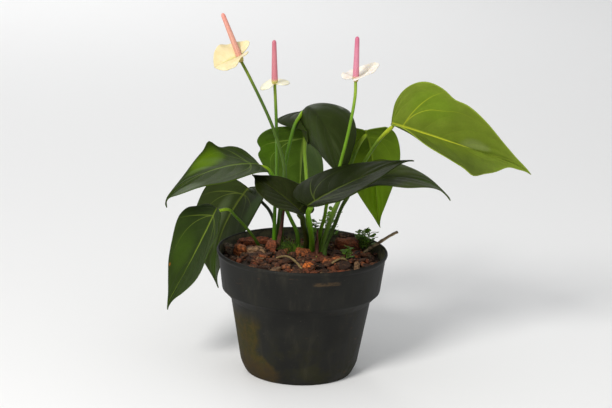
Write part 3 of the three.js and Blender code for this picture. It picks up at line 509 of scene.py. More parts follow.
def soil_material():
    """Dark crumbly potting mix with paler grit."""
    shader = Shader("soil", ior=1.4)
    clod = shader.noise(2.2, 5, 0.65)
    colour = clod.ramp((0.3, (20, 14, 10)), (0.55, (44, 30, 20)), (0.75, (74, 52, 34)))
    colour = shader.mix(shader.noise(0.9, 1).span(0.68, 0.74) * 0.6, colour, (150, 132, 108))
    return shader.finished(colour, 0.92, clod, 0.9)


def dry_material(name, dark, middle, pale, grain_size=1.2, stretch=(1, 1, 0.2), roughness=0.75):
    """Dry stems, sheaths and roots: three tones along their grain."""
    shader = Shader(name, ior=1.4)
    grain = shader.noise(grain_size, 5, 0.6, stretch)
    return shader.finished(grain.ramp((0.32, dark), (0.5, middle), (0.68, pale)), roughness, grain, 0.3)


def green_material(name, dark, light, roughness=0.5):
    """Seedlings and moss: each leaf is a little darker or lighter."""
    shader = Shader(name, ior=1.4, glow=(0.2, (0.4, 1, 0.2), 1))
    speckle = shader.noise(0.8, 2)
    share = shader.attribute("vary") * 0.75 + speckle * 0.25
    return shader.finished(shader.mix(share, dark, light), roughness, speckle, 0.1)


# ---- mesh helpers ----

ATTRIBUTES = {1: ("FLOAT", "value"), 3: ("FLOAT_VECTOR", "vector"), 4: ("FLOAT_COLOR", "color")}


def piece(name, points, faces, material, slot, **values):
    """One piece, from points in mm, that rides on the plant, with the values that its material reads."""
    mesh = bpy.data.meshes.new(name)
    mesh.from_pydata((np.asarray(points, float) * MM).tolist(), [], faces)
    for key, value in values.items():
        value = np.asarray(value, np.float32).reshape(len(points), -1)
        kind, field = ATTRIBUTES[value.shape[1]]
        mesh.attributes.new(key, kind, "POINT").data.foreach_set(field, value.ravel())
    mesh.materials.append(material)
    mesh.shade_smooth()
    mesh.validate()
    thing = place_in_scene(name, mesh)
    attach(thing, ROOT)
    return thing


def finer(node, points, faces, material, slot, **values):
    """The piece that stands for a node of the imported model."""
    thing = piece(f"{node}_fine", points, faces, material, slot, **values)
    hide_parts(node)
    return thing


class Heap:
    """Many small meshes, gathered into one piece."""

    def __init__(self):
        self.points, self.faces, self.values, self.count = [], [], {}, 0

    def add(self, points, faces, **values):
        """Takes in a mesh, with one number or colour for all its points."""
        points = np.asarray(points, float)
        self.points.append(points)
        self.faces += [tuple(v + self.count for v in face) for face in faces]
        for key, value in values.items():
            self.values.setdefault(key, []).append(np.broadcast_to(value, (len(points), *np.shape(value))))
        self.count += len(points)

    def finer(self, node, material, slot):
        values = {key: np.concatenate(parts) for key, parts in self.values.items()}
        finer(node, np.concatenate(self.points), self.faces, material, slot, **values)


def spline(path, count):
    """count points at even distances along the centripetal Catmull-Rom curve through path."""
    path = np.asarray(path, float)
    ends = [2 * path[0] - path[1], *path, 2 * path[-1] - path[-2]]
    dense = []
    for i in range(len(path) - 1):
        a, b, c, d = ends[i:i + 4]
        before, span, after = (max(np.linalg.norm(q - p) ** 0.5, 1e-4) for p, q in ((a, b), (b, c), (c, d)))
        start = ((b - a) / before - (c - a) / (before + span) + (c - b) / span) * span
        end = ((c - b) / span - (d - b) / (span + after) + (d - c) / after) * span
        t = np.linspace(0, 1, 41)[:-1, None]
        square, cube = 3 * (c - b) - 2 * start - end, 2 * (b - c) + start + end
        dense.append(b + start * t + square * t ** 2 + cube * t ** 3)
    dense = np.concatenate([*dense, path[-1:]])
    run = np.concatenate([[0], np.cumsum(np.linalg.norm(np.diff(dense, axis=0), axis=1))])
    at = np.linspace(0, run[-1], count)
    return np.stack([np.interp(at, run, dense[:, k]) for k in range(3)], 1)


def bands(rings, sides, start=0):
    """The faces between rings of points, which are numbered from start."""
    return [(a + k, a + (k + 1) % sides, a + sides + (k + 1) % sides, a + sides + k)
            for a in range(start, start + (rings - 1) * sides, sides) for k in range(sides)]


def cap(middle, start, sides):
    """The faces between the point in the middle of a ring and the ring, which is numbered from start."""
    return [(middle, start + k, start + (k + 1) % sides) for k in range(sides)]


def flipped(faces):
    return [face[::-1] for face in faces]


def around(sides):
    """The angles of a ring's points."""
    return CIRCLE * np.arange(sides) / sides


def tube(path, radii, sides):
    """A closed tube: path is (n, 3), and radii n numbers or (n, sides) for a relief."""
    path = np.asarray(path, float)
    radii = np.asarray(radii, float).reshape(len(path), -1)
    along = np.gradient(path, axis=0)
    along /= np.linalg.norm(along, axis=1)[:, None]
    side = np.cross(along[0], (0, 1, 0) if abs(along[0][1]) < 0.9 else (1, 0, 0))
    cos, sin = np.cos(around(sides)), np.sin(around(sides))
    rings = []
    for point, direction, radius in zip(path, along, radii):
        side = side - direction * side.dot(direction)
        side /= np.linalg.norm(side)
        other = np.cross(direction, side)
        rings.append(point + (radius * cos)[:, None] * side + (radius * sin)[:, None] * other)
    end = len(path) * sides
    faces = bands(len(path), sides) + flipped(cap(end, 0, sides)) + cap(end + 1, end - sides, sides)
    return np.concatenate([*rings, path[:1], path[-1:]]), faces


def ringwise(values, sides):
    """A value for each ring of a tube, as one for each point."""
    return np.concatenate([np.repeat(values, sides), values[:1], values[-1:]])


def turned(profile, sides):
    """A closed body turned about the axis, from a profile that starts and ends on it."""
    rings = [(radius * math.cos(a), radius * math.sin(a), height)
             for radius, height in profile[1:-1] for a in around(sides)]
    points = [(0, 0, profile[0][1]), *rings, (0, 0, profile[-1][1])]
    last = len(rings) + 1
    ends = flipped(cap(0, 1, sides)) + cap(last, last - sides, sides)
    return points, bands(len(profile) - 2, sides, 1) + ends


def drawn(seed):
    """The model's own random draws."""
    state = seed
    while True:
        state = (state * 1664525 + 1013904223) % 4294967296
        yield state / 4294967296


def rough(points, size, depth, seed=0):
    """Points pushed about by a smooth noise, size and depth in mm."""
    shift = Vector((seed * 7.3, seed * 3.1, seed * 5.7))
    pushes = [noise.noise_vector(Vector(p) / size + shift) for p in points]
    return np.array(points) + depth * np.array(pushes)


# ---- leaf blades ----

# half an outline: along, across, and the share of the lobe's depth, from the stalk round the lobe to the tip
MARGIN = [(0, 0, 0), (0, 0.13, 0.6), (0, 0.42, 1), (0.035, 0.72, 0.75), (0.12, 0.93, 0.25), (0.26, 1, 0),
          (0.43, 0.92, 0), (0.61, 0.69, 0), (0.77, 0.37, 0), (0.87, 0.15, 0), (0.94, 0.05, 0), (1, 0, 0)]
SPATHE_MARGIN = [(0, 0, 0), (0, 0.15, 0.6), (0, 0.45, 1), (0.05, 0.75, 0.75), (0.15, 0.93, 0.25),
                 (0.32, 1, 0), (0.55, 0.93, 0), (0.76, 0.72, 0), (0.91, 0.38, 0), (0.98, 0.12, 0), (1, 0, 0)]
HOOKED = 0.8            # where along the midrib a hooked tip starts
DENT = 0.06             # half the length of a dent, as a share of the midrib's
FINE_LEAF = dict(sheet=0.7, outline=MARGIN, rows=72, half=26, laterals=LATERALS, quilt=0.55, rib_width=0.75,
                 rib_height=1.2)
FINE_SPATHE = dict(sheet=0.8, outline=SPATHE_MARGIN, rows=44, half=18, laterals=5, quilt=0.12, rib_width=0.7,
                   rib_height=0.45)


def margin_curve(outline, leaf, half, rows):
    """The edge of the -1 or +1 half at rows + 1 even steps, on a uniform Catmull-Rom curve."""
    lobe = leaf["lobe"][0 if half < 0 else 1]
    flat = np.array([(along - lobe * (min(across ** 2, deep) if lobe < 0 else deep), across)
                     for along, across, deep in outline])
    ends = np.array([2 * flat[0] - flat[1], *flat, 2 * flat[-1] - flat[-2]])
    t = np.linspace(0, len(flat) - 1, rows + 1)
    i = np.minimum(t.astype(int), len(flat) - 2)
    f = (t - i)[:, None]
    a, b, c, d = ends[i], ends[i + 1], ends[i + 2], ends[i + 3]
    edge = b + 0.5 * f * (c - a + f * (2 * a - 5 * b + 4 * c - d + f * (3 * b - 3 * c + d - a)))
    for side, place, depth in leaf.get("dents", []):
        if side == half:
            edge[:, 1] *= 1 - depth * np.exp(-((edge[:, 0] - place) / DENT) ** 2)
    return edge


def midrib_frames(leaf):
    """The midrib's points, directions, sides and upper faces at 61 even steps."""
    steps = 60
    s = np.linspace(0, 1, steps + 1)
    first, last = leaf["pitch"]

    def direction(at):
        hooked = leaf.get("hook", 0) * np.clip((at - HOOKED) / (1 - HOOKED), 0, 1) ** 2
        pitch = np.radians(first + (last - first) * at ** leaf["bend"] + hooked)
        turn = np.radians(leaf["heading"] + leaf["veer"] * at)
        level = np.cos(pitch)
        return np.stack([level * np.cos(turn), level * np.sin(turn), np.sin(pitch)], -1), turn

    moves = direction((s[:-1] + s[1:]) / 2)[0] * leaf["length"] / steps
    places = np.array(leaf["at"], float) + np.concatenate([np.zeros((1, 3)), np.cumsum(moves, 0)])
    along, turn = direction(s)
    flat_side = np.stack([np.sin(turn), -np.cos(turn), 0 * turn], -1)
    flat_up = np.cross(flat_side, along)
    roll = np.radians(leaf["roll"][0] + (leaf["roll"][1] - leaf["roll"][0]) * s)[:, None]
    side = flat_side * np.cos(roll) + flat_up * np.sin(roll)
    up = flat_up * np.cos(roll) - flat_side * np.sin(roll)
    return s, places, along, side, up


def blade_points(leaf, along, across):
    """Where points of the flat leaf lie: along from 0 at the stalk to 1 at the tip, across from -1 to 1."""
    s, *frames = midrib_frames(leaf)
    at = np.clip(along, 0, 1)
    point, ahead, side, up = (np.stack([np.interp(at, s, a[:, k]) for k in range(3)], -1) for a in frames)
    fold, curl, lift = (math.radians(leaf[key]) for key in ("fold", "curl", "lift"))
    reach = leaf["width"] / 2 / curl
    away = np.abs(across)
    sideways = np.sign(across) * reach * (math.sin(fold) - np.sin(fold - curl * away))
    wave = leaf["wave"] * np.sin(leaf["phase"] + 0.8 * np.sign(across) + 11 * along) * away ** 3
    raised = reach * (np.cos(fold - curl * away) - math.cos(fold)) + wave
    behind = np.minimum(along, 0) * leaf["length"]
    return (point + side * sideways[..., None] + up * (raised - behind * math.sin(lift))[..., None]
            + ahead * (behind * math.cos(lift))[..., None])


def blade(leaf, sheet, outline, rows, half, laterals, quilt, rib_width, rib_height):
    """A thin closed blade with a raised midrib and sunk side veins, and what its shader reads."""
    edges = [margin_curve(outline, leaf, side, rows) for side in (-1, 1)]
    columns = np.sin(np.linspace(0, math.pi / 2, half + 1)) * 0.35 + np.linspace(0, 1, half + 1) * 0.65
    columns = np.concatenate([-columns[:0:-1], columns])
    row = np.arange(rows + 1) / rows
    root = np.maximum(0, (row - 0.3) / 0.7) ** 1.25 * 0.98
    root[-1] = 1
    edge = np.where((columns < 0)[None, :, None], edges[0][:, None], edges[1][:, None])
    along = root[:, None] + (edge[..., 0] - root[:, None]) * np.abs(columns)
    across = edge[..., 1] * columns
    points = blade_points(leaf, along, across)

    # relief: between side veins the blade bulges up, and the midrib stands out below
    down_rows = np.gradient(points, axis=0)
    normal = np.cross(np.gradient(points, axis=1), down_rows)
    normal = normal / np.maximum(np.linalg.norm(normal, axis=2, keepdims=True), 1e-9)
    normal[0] = normal[1]
    normal[-1] = normal[-2]
    normal[0, half] = normal[np.argmax(root > 0), half]
    pitch = np.linalg.norm(down_rows, axis=2) * rows
    away = np.abs(columns)[None, :]
    room = np.clip(pitch / laterals / 5, 0, 1)
    swept = row[:, None] - SWEEP * away ** 2
    bulge = quilt * room * np.abs(np.sin(math.pi * swept * laterals)) ** 0.7 * (away * (1 - away)) ** 0.5 * 2
    off_rib = np.abs(across) * leaf["width"] / 2
    thin = np.clip(1 - along, 0.12, 1)
    rib = rib_height * np.exp(-(off_rib / (rib_width * thin)) ** 2) * thin
    upper = points + normal * (sheet / 2 + bulge - 0.35 * rib)[..., None]
    lower = points - normal * (sheet / 2 - bulge + rib)[..., None]

    # one point for all the rows that start at the stalk, and one for the tip
    width = len(columns)
    count = (rows + 1) * width
    index = np.arange(count).reshape(rows + 1, width)
    index[0, :] = index[0, half]
    index[:, half] = np.where(root == 0, index[0, half], index[:, half])
    index[-1, :] = index[-1, half]
    faces = []
    for r in range(rows):
        for k in range(width - 1):
            ring = (index[r, k], index[r, k + 1], index[r + 1, k + 1], index[r + 1, k])
            kept = tuple(v for i, v in enumerate(ring) if v != ring[i - 1])
            if len(kept) > 2:
                faces += [kept, tuple(v + count for v in kept[::-1])]
        for k, step in ((0, 1), (width - 1, -1)):
            a, b = index[r, k], index[r + 1, k]
            if a != b:
                faces.append((a, b, b + count, a + count)[::step])
    places = np.broadcast_arrays(row[:, None], columns[None], np.maximum(pitch, 1))
    places = np.stack(places, -1).reshape(-1, 3)
    colour_rib = np.exp(-(off_rib / (rib_width * 0.85 * np.clip(thin, 0.3, 1))) ** 4).ravel()
    values = dict(leaf=np.tile(places, (2, 1)), under=np.repeat([0.0, 1.0], count),
                  rib=np.tile(colour_rib, 2))
    return compact(np.concatenate([upper.reshape(-1, 3), lower.reshape(-1, 3)]), faces, values)


def compact(points, faces, values):
    """The same mesh without the points that no face uses."""
    used = np.unique(np.concatenate(faces))
    new = np.zeros(len(points), int)
    new[used] = np.arange(len(used))
    faces = [tuple(int(new[v]) for v in face) for face in faces]
    return points[used], faces, {key: value[used] for key, value in values.items()}


# Each leaf's colours are matched leaf by leaf, so they are partly its own green and partly painted light and
# shade: the near-black faces of the front and back-centre leaves are darkened as painted shade, and the
# bright right-high, back-left and back-right leaves are lightened as painted light.
LEAF_COLOURS = {
    #                    upper face      lower face      veins           midrib
    "leaf_right_high": ((116, 134, 44), (122, 138, 50), (150, 166, 50), (186, 190, 50)),
    "leaf_back_centre": ((40, 50, 18), (58, 72, 26), (50, 60, 24), (30, 36, 16)),
    "leaf_back_left": ((62, 86, 22), (70, 96, 26), (88, 114, 40), (140, 164, 70)),
    "leaf_front_left": ((34, 40, 12), (48, 56, 20), (46, 54, 20), (76, 86, 32)),
    "leaf_front_right": ((26, 33, 8), (46, 56, 20), (44, 54, 18), (84, 98, 36)),
    "leaf_back_right": ((98, 122, 22), (100, 128, 24), (118, 144, 36), (126, 150, 40)),
    "leaf_right_low": ((56, 68, 18), (72, 86, 28), (68, 80, 28), (84, 98, 38)),
    "leaf_left_high": ((40, 54, 8), (64, 84, 22), (64, 80, 24), (92, 112, 36)),
    "leaf_left_middle": ((42, 52, 20), (60, 76, 28), (58, 70, 30), (92, 104, 40)),
    "leaf_left_low": ((40, 54, 18), (58, 76, 28), (58, 74, 28), (112, 130, 44)),
}
SHINE = 0.1
DULL_LEAVES = {"leaf_left_high": 0.04, "leaf_front_right": 0.05}
# Patches of colour on each blade, mostly painted light and shade: lit and shaded areas, and pale patches that
# are painted sheen and painted highlights, such as the pale spot on the back-centre leaf, the sheen near the
# right-high leaf's tip and the stripe along the left-middle leaf. The small brown-orange spot on the left-low
# leaf is its own colour.
LEAF_PAINTED_LIGHT_AND_SPOTS = {
    # middle (row, across), reach (row, across), strength, colour
    "leaf_right_high": [(0.52, 0.75, 0.3, 0.5, 0.6, (84, 98, 48)),
                        (0.72, -0.25, 0.06, 0.3, 0.4, (168, 178, 120)),
                        (0.45, -0.6, 0.12, 0.4, 0.6, (118, 148, 36))],
    "leaf_back_centre": [(0.5, -0.7, 0.03, 0.1, 0.35, (150, 156, 140)),
                         (0.55, 0.5, 0.2, 0.4, 0.5, (62, 76, 38))],
    "leaf_back_left": [(0.47, -0.8, 0.12, 0.3, 0.8, (74, 108, 12)),
                       (0.55, 0.6, 0.25, 0.45, 0.7, (92, 112, 62))],
    "leaf_front_left": [],
    "leaf_front_right": [(0.78, -0.2, 0.15, 0.8, 0.4, (44, 52, 20))],
    "leaf_back_right": [(0.78, 0.1, 0.2, 1.2, 0.8, (108, 146, 8)),
                        (0.46, -0.2, 0.08, 0.3, 0.6, (48, 72, 16))],
    "leaf_right_low": [(0.85, 0.2, 0.12, 1, 0.6, (66, 92, 24))],
    "leaf_left_high": [(0.6, 0.62, 0.12, 0.38, 0.8, (90, 120, 8)),
                       (0.7, -0.85, 0.1, 0.35, 0.5, (116, 126, 104)),
                       (0.42, 0.5, 0.07, 0.4, 0.6, (34, 44, 12))],
    "leaf_left_middle": [(0.6, 0.25, 0.2, 0.16, 0.5, (92, 104, 72)),
                         (0.42, -0.9, 0.12, 0.3, 0.7, (74, 98, 44)),
                         (0.85, 0, 0.12, 1, 0.6, (62, 86, 26))],
    "leaf_left_low": [(0.667, 0.94, 0.008, 0.035, 1, (150, 84, 30)),
                      (0.62, 0.55, 0.12, 0.4, 0.5, (60, 84, 16))],
}


def make_leaf(leaf):
    name = leaf["name"]
    points, faces, values = blade(leaf, **FINE_LEAF)
    shine = DULL_LEAVES.get(name, SHINE)
    green = leaf_material(f"{name}_green", LEAF_COLOURS[name], LEAF_PAINTED_LIGHT_AND_SPOTS[name], shine)
    finer(f"{name}_blade", points, faces, green, "leaf", **values)
    make_petiole(leaf)


# ---- stalks ----

# Some of these greens hold painted shade: the front-left stalk is painted dark all along, and the low end of
# the left-high stalk is painted dark.
STALK_GREENS_AND_SHADE = {
    #                    low            middle          high
    "leaf_right_high": ((92, 124, 34), (112, 144, 38), (172, 186, 44)),
    "leaf_back_centre": ((74, 104, 30), (80, 118, 26), (140, 178, 28)),
    "leaf_back_left": ((84, 116, 30), (122, 156, 40), (140, 170, 52)),
    "leaf_front_left": ((48, 66, 22), (46, 60, 20), (56, 70, 24)),
    "leaf_front_right": ((84, 124, 28), (100, 150, 28), (110, 150, 36)),
    "leaf_back_right": ((74, 104, 28), (92, 124, 30), (146, 172, 44)),
    "leaf_right_low": ((66, 90, 26), (58, 80, 24), (70, 92, 30)),
    "leaf_left_high": ((34, 46, 18), (96, 142, 26), (148, 172, 30)),
    "leaf_left_middle": ((50, 66, 24), (38, 48, 20), (60, 72, 30)),
    "leaf_left_low": ((54, 74, 28), (80, 112, 28), (148, 182, 34)),
    "bloom_left": ((66, 92, 28), (76, 102, 36), (116, 136, 42)),
    "bloom_middle": ((92, 148, 22), (84, 120, 32), (126, 150, 44)),
    "bloom_right": ((92, 126, 32), (106, 146, 30), (140, 166, 50)),
}
STALK_FOOT = (90, 74, 44)
STALK_SIDES = 14
SWELLING = (7, 5, 0.15)     # how far below the blade a leaf's stalk swells, its length, and how much


def make_stalk(node, path, radii, rise):
    green = stalk_material(node.rpartition("_")[0])
    finer(node, *tube(path, radii, STALK_SIDES), green, "stalk", rise=ringwise(rise, STALK_SIDES))


def make_petiole(leaf):
    """The leaf's stalk, from under the blade down to the rhizome, with its swollen joint below the blade."""
    _, places, along, _, up = midrib_frames(leaf)
    girth = leaf.get("girth", 1)
    seat = places[0] - up[0] * (girth * STALK_RADIUS + GAP) + along[0] * SEATED
    path = spline([seat, *leaf["stalk"], (*leaf["stalk"][-1][:2], ROOTED)], 64)
    t = np.linspace(0, 1, 64)
    length = np.linalg.norm(np.diff(path, axis=0), axis=1).sum()
    below, spread, swell = SWELLING
    radii = girth * (STALK_RADIUS + 0.7 * t ** 3 + 0.3 * np.exp(-t * 18))
    radii = radii + swell * np.exp(-((t * length - below) / spread) ** 2)
    radii[:2] *= (0.55, 0.9)
    keel = 1 + 0.05 * np.cos(2 * around(STALK_SIDES))
    make_stalk(f"{leaf['name']}_petiole", path, radii[:, None] * keel, 1 - t)


def make_peduncle(bloom):
    """The flower stalk, from the rhizome up to the spadix."""
    path = spline([(*bloom["stalk"][0][:2], ROOTED), *bloom["stalk"]], 80)
    t = np.linspace(0, 1, 80)
    make_stalk(f"{bloom['name']}_peduncle", path, STALK_RADIUS - 0.15 * t + 0.5 * (1 - t) ** 4, t)


# ---- blooms ----

BLOOM_COLOURS = {
    # the spathe's face, shade and foot, and the spadix's body, tip and foot
    "bloom_left": ((230, 216, 174), (214, 198, 146), (196, 200, 110),
                   (220, 162, 140), (226, 146, 132), (196, 196, 88)),
    "bloom_middle": ((248, 242, 212), (236, 226, 186), (190, 198, 110),
                     (200, 118, 130), (192, 100, 118), (190, 194, 84)),
    "bloom_right": ((242, 234, 220), (228, 212, 196), (190, 190, 140),
                    (210, 130, 154), (196, 92, 126), (206, 202, 112)),
}
FLORETS = 330
FLORET_RADIUS = 0.85
FLORET_RISE = 0.28
FLORET_ANGLE = 2.399963     # the golden angle, from one floret to the next


def make_spadix(name, base, tip, material):
    """A blunt finger covered in florets: one small dome for each, set in spirals by the golden angle."""
    length = np.linalg.norm(tip - base)
    rings, sides = 150, 56
    t = np.linspace(0, 1, rings)
    outline = np.where(t < 0.06, 2.1 + 9 * t, 2.75 - 1.1 * t)
    outline = np.maximum(outline * np.sqrt(1 - np.maximum(0, (t - 0.93) / 0.0702) ** 2), 0.05)
    high = t * length

    # how far the nearest floret is from each point of the skin
    n = np.arange(FLORETS)
    floret_high = 1.6 + (length - 1.8) * (n + 0.5) / FLORETS
    floret_angle = (n * FLORET_ANGLE) % CIRCLE
    aside = np.abs((around(sides)[None, :, None] - floret_angle + math.pi) % CIRCLE - math.pi)
    aside = aside * np.maximum(outline, 0.6)[:, None, None]
    distance = np.sqrt(aside ** 2 + (high[:, None, None] - floret_high) ** 2).min(2)
    dome = np.clip(1 - (distance / FLORET_RADIUS) ** 2, 0, 1)
    fade = np.clip(high / 2, 0, 1) * np.clip(outline / 1.5, 0, 1)
    radii = outline[:, None] - 0.06 + FLORET_RISE * dome ** 0.6 * fade[:, None]
    points, faces = tube(base + (tip - base) * t[:, None], radii, sides)
    # how deep each point lies between florets, which the material darkens as painted shade
    shade_between_florets = np.concatenate([(1 - dome).ravel(), [1, 0]])
    finer(f"{name}_spadix", points, faces, material, "spadix", rise=ringwise(t, sides), shade_between_florets=shade_between_florets)


def make_bloom(bloom):
    name = bloom["name"]
    *cream, body, top, foot = BLOOM_COLOURS[name]
    base, tip = np.array(bloom["stalk"][-1], float), np.array(bloom["tip"], float)
    at = base + (tip - base) * bloom["spathe"]["rise"] / np.linalg.norm(tip - base)
    points, faces, values = blade(dict(bloom["spathe"], at=at), **FINE_SPATHE)
    finer(f"{name}_spathe", points, faces, spathe_material(f"{name}_cream", *cream), "spathe", **values)
    make_spadix(name, base, tip, spadix_material(f"{name}_pink", body, top, foot))
    make_peduncle(bloom)


# ---- sheaths, roots and twig ----


def make_sheath(name, path, material):
    """A papery leaf base that wraps to a point, ribbed along its length."""
    count, sides = 40, 20
    t = np.linspace(0, 1, count)
    angle = around(sides)
    radii = SHEATH_RADIUS * (1 - 0.75 * t ** 2)
    ribs = 1 + 0.07 * np.cos(angle * 5)[None] + 0.10 * np.cos(angle)[None] * np.sin(9 * t)[:, None]
    points, faces = tube(spline(path, count), radii[:, None] * ribs, sides)
    finer(name, rough(points, 5, 0.25, seed=len(name)), faces, material, "sheath")


def make_dry_tube(name, path, radii, sides, knots, material, slot, seed):
    """A dry root or twig: a tube with knots (place, size) and a rough skin."""
    t = np.linspace(0, 1, len(radii))
    for place, size in knots:
        radii = radii * (1 + size * np.exp(-((t - place) / 0.025) ** 2))
    points, faces = tube(spline(path, len(radii)), radii, sides)
    finer(name, rough(points, 2.2, 0.22, seed), faces, material, slot)


# ---- the pot ----

SHOULDER = POT["height"] - POT["collar_drop"]
BODY_TOP = SHOULDER - POT["slant"]


def inner_radius(height):
    if height < BODY_TOP:
        share = (height - POT["edge"]) / (BODY_TOP - POT["edge"])
        outer = POT["body_bottom"] + share * (POT["body_top"] - POT["body_bottom"])
    elif height < SHOULDER:
        outer = POT["body_top"] + (height - BODY_TOP) / POT["slant"] * (POT["collar"] - POT["body_top"])
    else:
        share = (height - SHOULDER) / POT["collar_drop"]
        outer = POT["collar"] + share * (POT["rim"] - POT["lip"] + 1.2 - POT["collar"])
    return outer - POT["wall"]


def make_pot():
    """The turned pot, with rounded shoulders, a rolled lip and its drain holes cut through the floor."""
    height, rim, lip, collar, body_top = (POT[key] for key in ("height", "rim", "lip", "collar", "body_top"))
    base, edge, bottom, floor = (POT[key] for key in ("base", "edge", "body_bottom", "floor"))
    top, body = SHOULDER, BODY_TOP
    profile = [
        (0, 0.0), (base - 0.6, 0.0), (base + 0.2, 0.3), (base + 1.4, 2.0), (bottom - 2.6, edge - 7),
        (bottom - 1.4, edge - 4.5), (bottom - 0.5, edge - 2), (bottom, edge),
        (body_top - 0.15, body - 1.0), (body_top + 0.5, body + 0.4),
        (collar - 1.1, top - 0.9), (collar - 0.2, top - 0.1), (collar + 0.05, top + 0.9),
        (rim - 1.75, height - 5.2), (rim - 1.3, height - 4.2), (rim - 0.35, height - 3.2),
        (rim, height - 2.2), (rim - 0.05, height - 1.2), (rim - 0.5, height - 0.4), (rim - 1.2, height),
        (rim - 2.0, height - 0.3), (rim - lip, height - 1.2), (inner_radius(top), top),
        (inner_radius(body), body), (inner_radius(edge), edge), (bottom - 3.4, edge - 4.1),
        (base - 1.1, floor), (0, floor),
    ]
    pot = finer("pot", *turned(profile, 144), pot_plastic, "pot")
    cutters = Heap()
    for i in range(POT["holes"]):
        angle = CIRCLE * (i + POT["hole_turn"]) / POT["holes"]
        x, y = POT["hole_circle"] * math.cos(angle), POT["hole_circle"] * math.sin(angle)
        cutters.add(*tube([(x, y, -5), (x, y, 10)], [POT["hole_radius"]] * 2, 24))
    mesh = bpy.data.meshes.new("drain_cutter")
    mesh.from_pydata((np.concatenate(cutters.points) * MM).tolist(), [], cutters.faces)
    cutter = place_in_scene("drain_cutter", mesh)
    cut = pot.modifiers.new("drains", "BOOLEAN")
    cut.object, cut.operation, cut.solver = cutter, "DIFFERENCE", "EXACT"
    drained = bpy.data.meshes.new_from_object(pot.evaluated_get(bpy.context.evaluated_depsgraph_get()))
    pot.modifiers.clear()
    pot.data = drained
    bpy.data.objects.remove(cutter)


# ---- bark and soil ----

BARK_TINTS = {name: srgb(*tint) for name, tint in {
    "grey": (104, 90, 74), "orange": (158, 88, 46), "tan": (134, 104, 74), "red": (126, 66, 38),
    "bright": (196, 104, 40), "dark": (58, 36, 24), "brown": (98, 58, 34)}.items()}
CHIP_TINTS = ["red", "orange", "brown", "dark", "brown", "dark", "brown", "tan", "red", "brown"]
CRUMB_TINTS = ["dark", "brown", "dark", "tan", "red"]
CHUNK_PAINTED_LIGHT = 1.5       # painted light: the big chunks on top are painted paler than the chips
CHUNK_TILT = 0.15
CHIP_ANGLE = 2.39996    # from one of the model's chips to the next
SMALL_CHIPS = 230
CRUMBS = 300
# the model draws its block's corners in this order
CORNERS = [(1, 1, 1), (1, 1, -1), (1, -1, 1), (1, -1, -1),
           (-1, 1, -1), (-1, 1, 1), (-1, -1, -1), (-1, -1, 1)]
BLOCK = [(0, 2, 3, 1), (4, 6, 7, 5), (5, 7, 2, 0), (1, 3, 6, 4), (5, 0, 1, 4), (2, 7, 6, 3)]


def cube_grid(cuts):
    """A cube's surface from -1 to 1, split into a grid and rounded, as points and faces."""
    points, faces, seen = [], [], {}
    steps = [-1 + 2 * i / cuts for i in range(cuts + 1)]
    for axis in range(3):
        for sign in (-1, 1):
            for i in range(cuts):
                for j in range(cuts):
                    ring = []
                    for a, b in ((i, j), (i + 1, j), (i + 1, j + 1), (i, j + 1)):
                        point = [0, 0, 0]
                        point[axis], point[(axis + 1) % 3], point[(axis + 2) % 3] = sign, steps[a], steps[b]
                        corner = tuple(round(v * cuts) for v in point)
                        if corner not in seen:
                            seen[corner] = len(points)
                            points.append(point)
                        ring.append(seen[corner])
                    faces.append(tuple(ring[::sign]))
    points = np.array(points)
    rounding = np.linalg.norm(points, axis=1, keepdims=True)
    largest = np.abs(points).max(1, keepdims=True)
    return points * (0.66 + 0.36 * largest / rounding * 1.15), faces


CUBES = {cuts: cube_grid(cuts) for cuts in (6, 12)}


def chip_corners(size, draw):
    """A block with every corner pushed about, as the model's chips are."""
    corners = {}
    for signs in CORNERS:
        pushed = (0.66 + 0.5 * next(draw), 0.6 + 0.6 * next(draw), 0.7 + 0.5 * next(draw))
        corners[signs] = np.array([s / 2 * sign * push for s, sign, push in zip(size, signs, pushed)])
    return corners


def chip(corners, cuts, depth, seed):
    """A piece of bark: the block between the corners, with split layers and a broken skin."""
    grid, faces = CUBES[cuts]
    points = np.zeros_like(grid)
    for signs, corner in corners.items():
        weight = np.prod([(1 + sign * grid[:, k]) / 2 for k, sign in enumerate(signs)], axis=0)
        points += weight[:, None] * corner
    extent = np.ptp(points, axis=0)
    layers = np.array([noise.noise(Vector((seed * 1.7, seed * 0.9, z * 1.6))) for z in points[:, 2]])
    points[:, :2] *= 1 + 0.24 * layers[:, None]
    coarse = rough(points, max(2.0, extent.min() * 0.7), depth, seed)
    return rough(coarse, 1.3, depth * 0.42, seed + 50), faces


def rotation(x, y, z):
    return np.array(Matrix.Rotation(z, 3, "Z") @ Matrix.Rotation(y, 3, "Y") @ Matrix.Rotation(x, 3, "X"))


def varied(colour, rng, spread=0.18):
    """A colour made a little lighter or darker, and warmer or cooler."""
    light = 1 + spread * rng.uniform(-1, 1)
    warm = 0.1 * rng.uniform(-1, 1)
    return np.array([colour[0] * light * (1 + warm), colour[1] * light, colour[2] * light * (1 - warm), 1.0])


def make_chunk(number, name, at, size, turn, tint):
    """One of the big loose chunks of bark."""
    points, faces = chip(chip_corners(size, drawn(20 + number)), 12, 1.5, 100 + number)
    points = points @ rotation(CHUNK_TILT, 0, math.radians(turn)).T + at
    # painted light: the chunk's tint is made paler than that of the chips
    light = [*(CHUNK_PAINTED_LIGHT * v for v in BARK_TINTS[tint][:3]), 1]
    finer(f"bark_chunk_{name}", points, faces, bark, "bark", tint=np.tile(light, (len(points), 1)))


def on_bed(radius, angle, above):
    """A point at that distance and direction from the pot's axis, above the bed of bark."""
    ground = SOIL_TOP + MOUND * max(0, 1 - (radius / inner_radius(SOIL_TOP)) ** 2)
    return np.array([radius * math.cos(angle), radius * math.sin(angle), ground + MULCH + above])


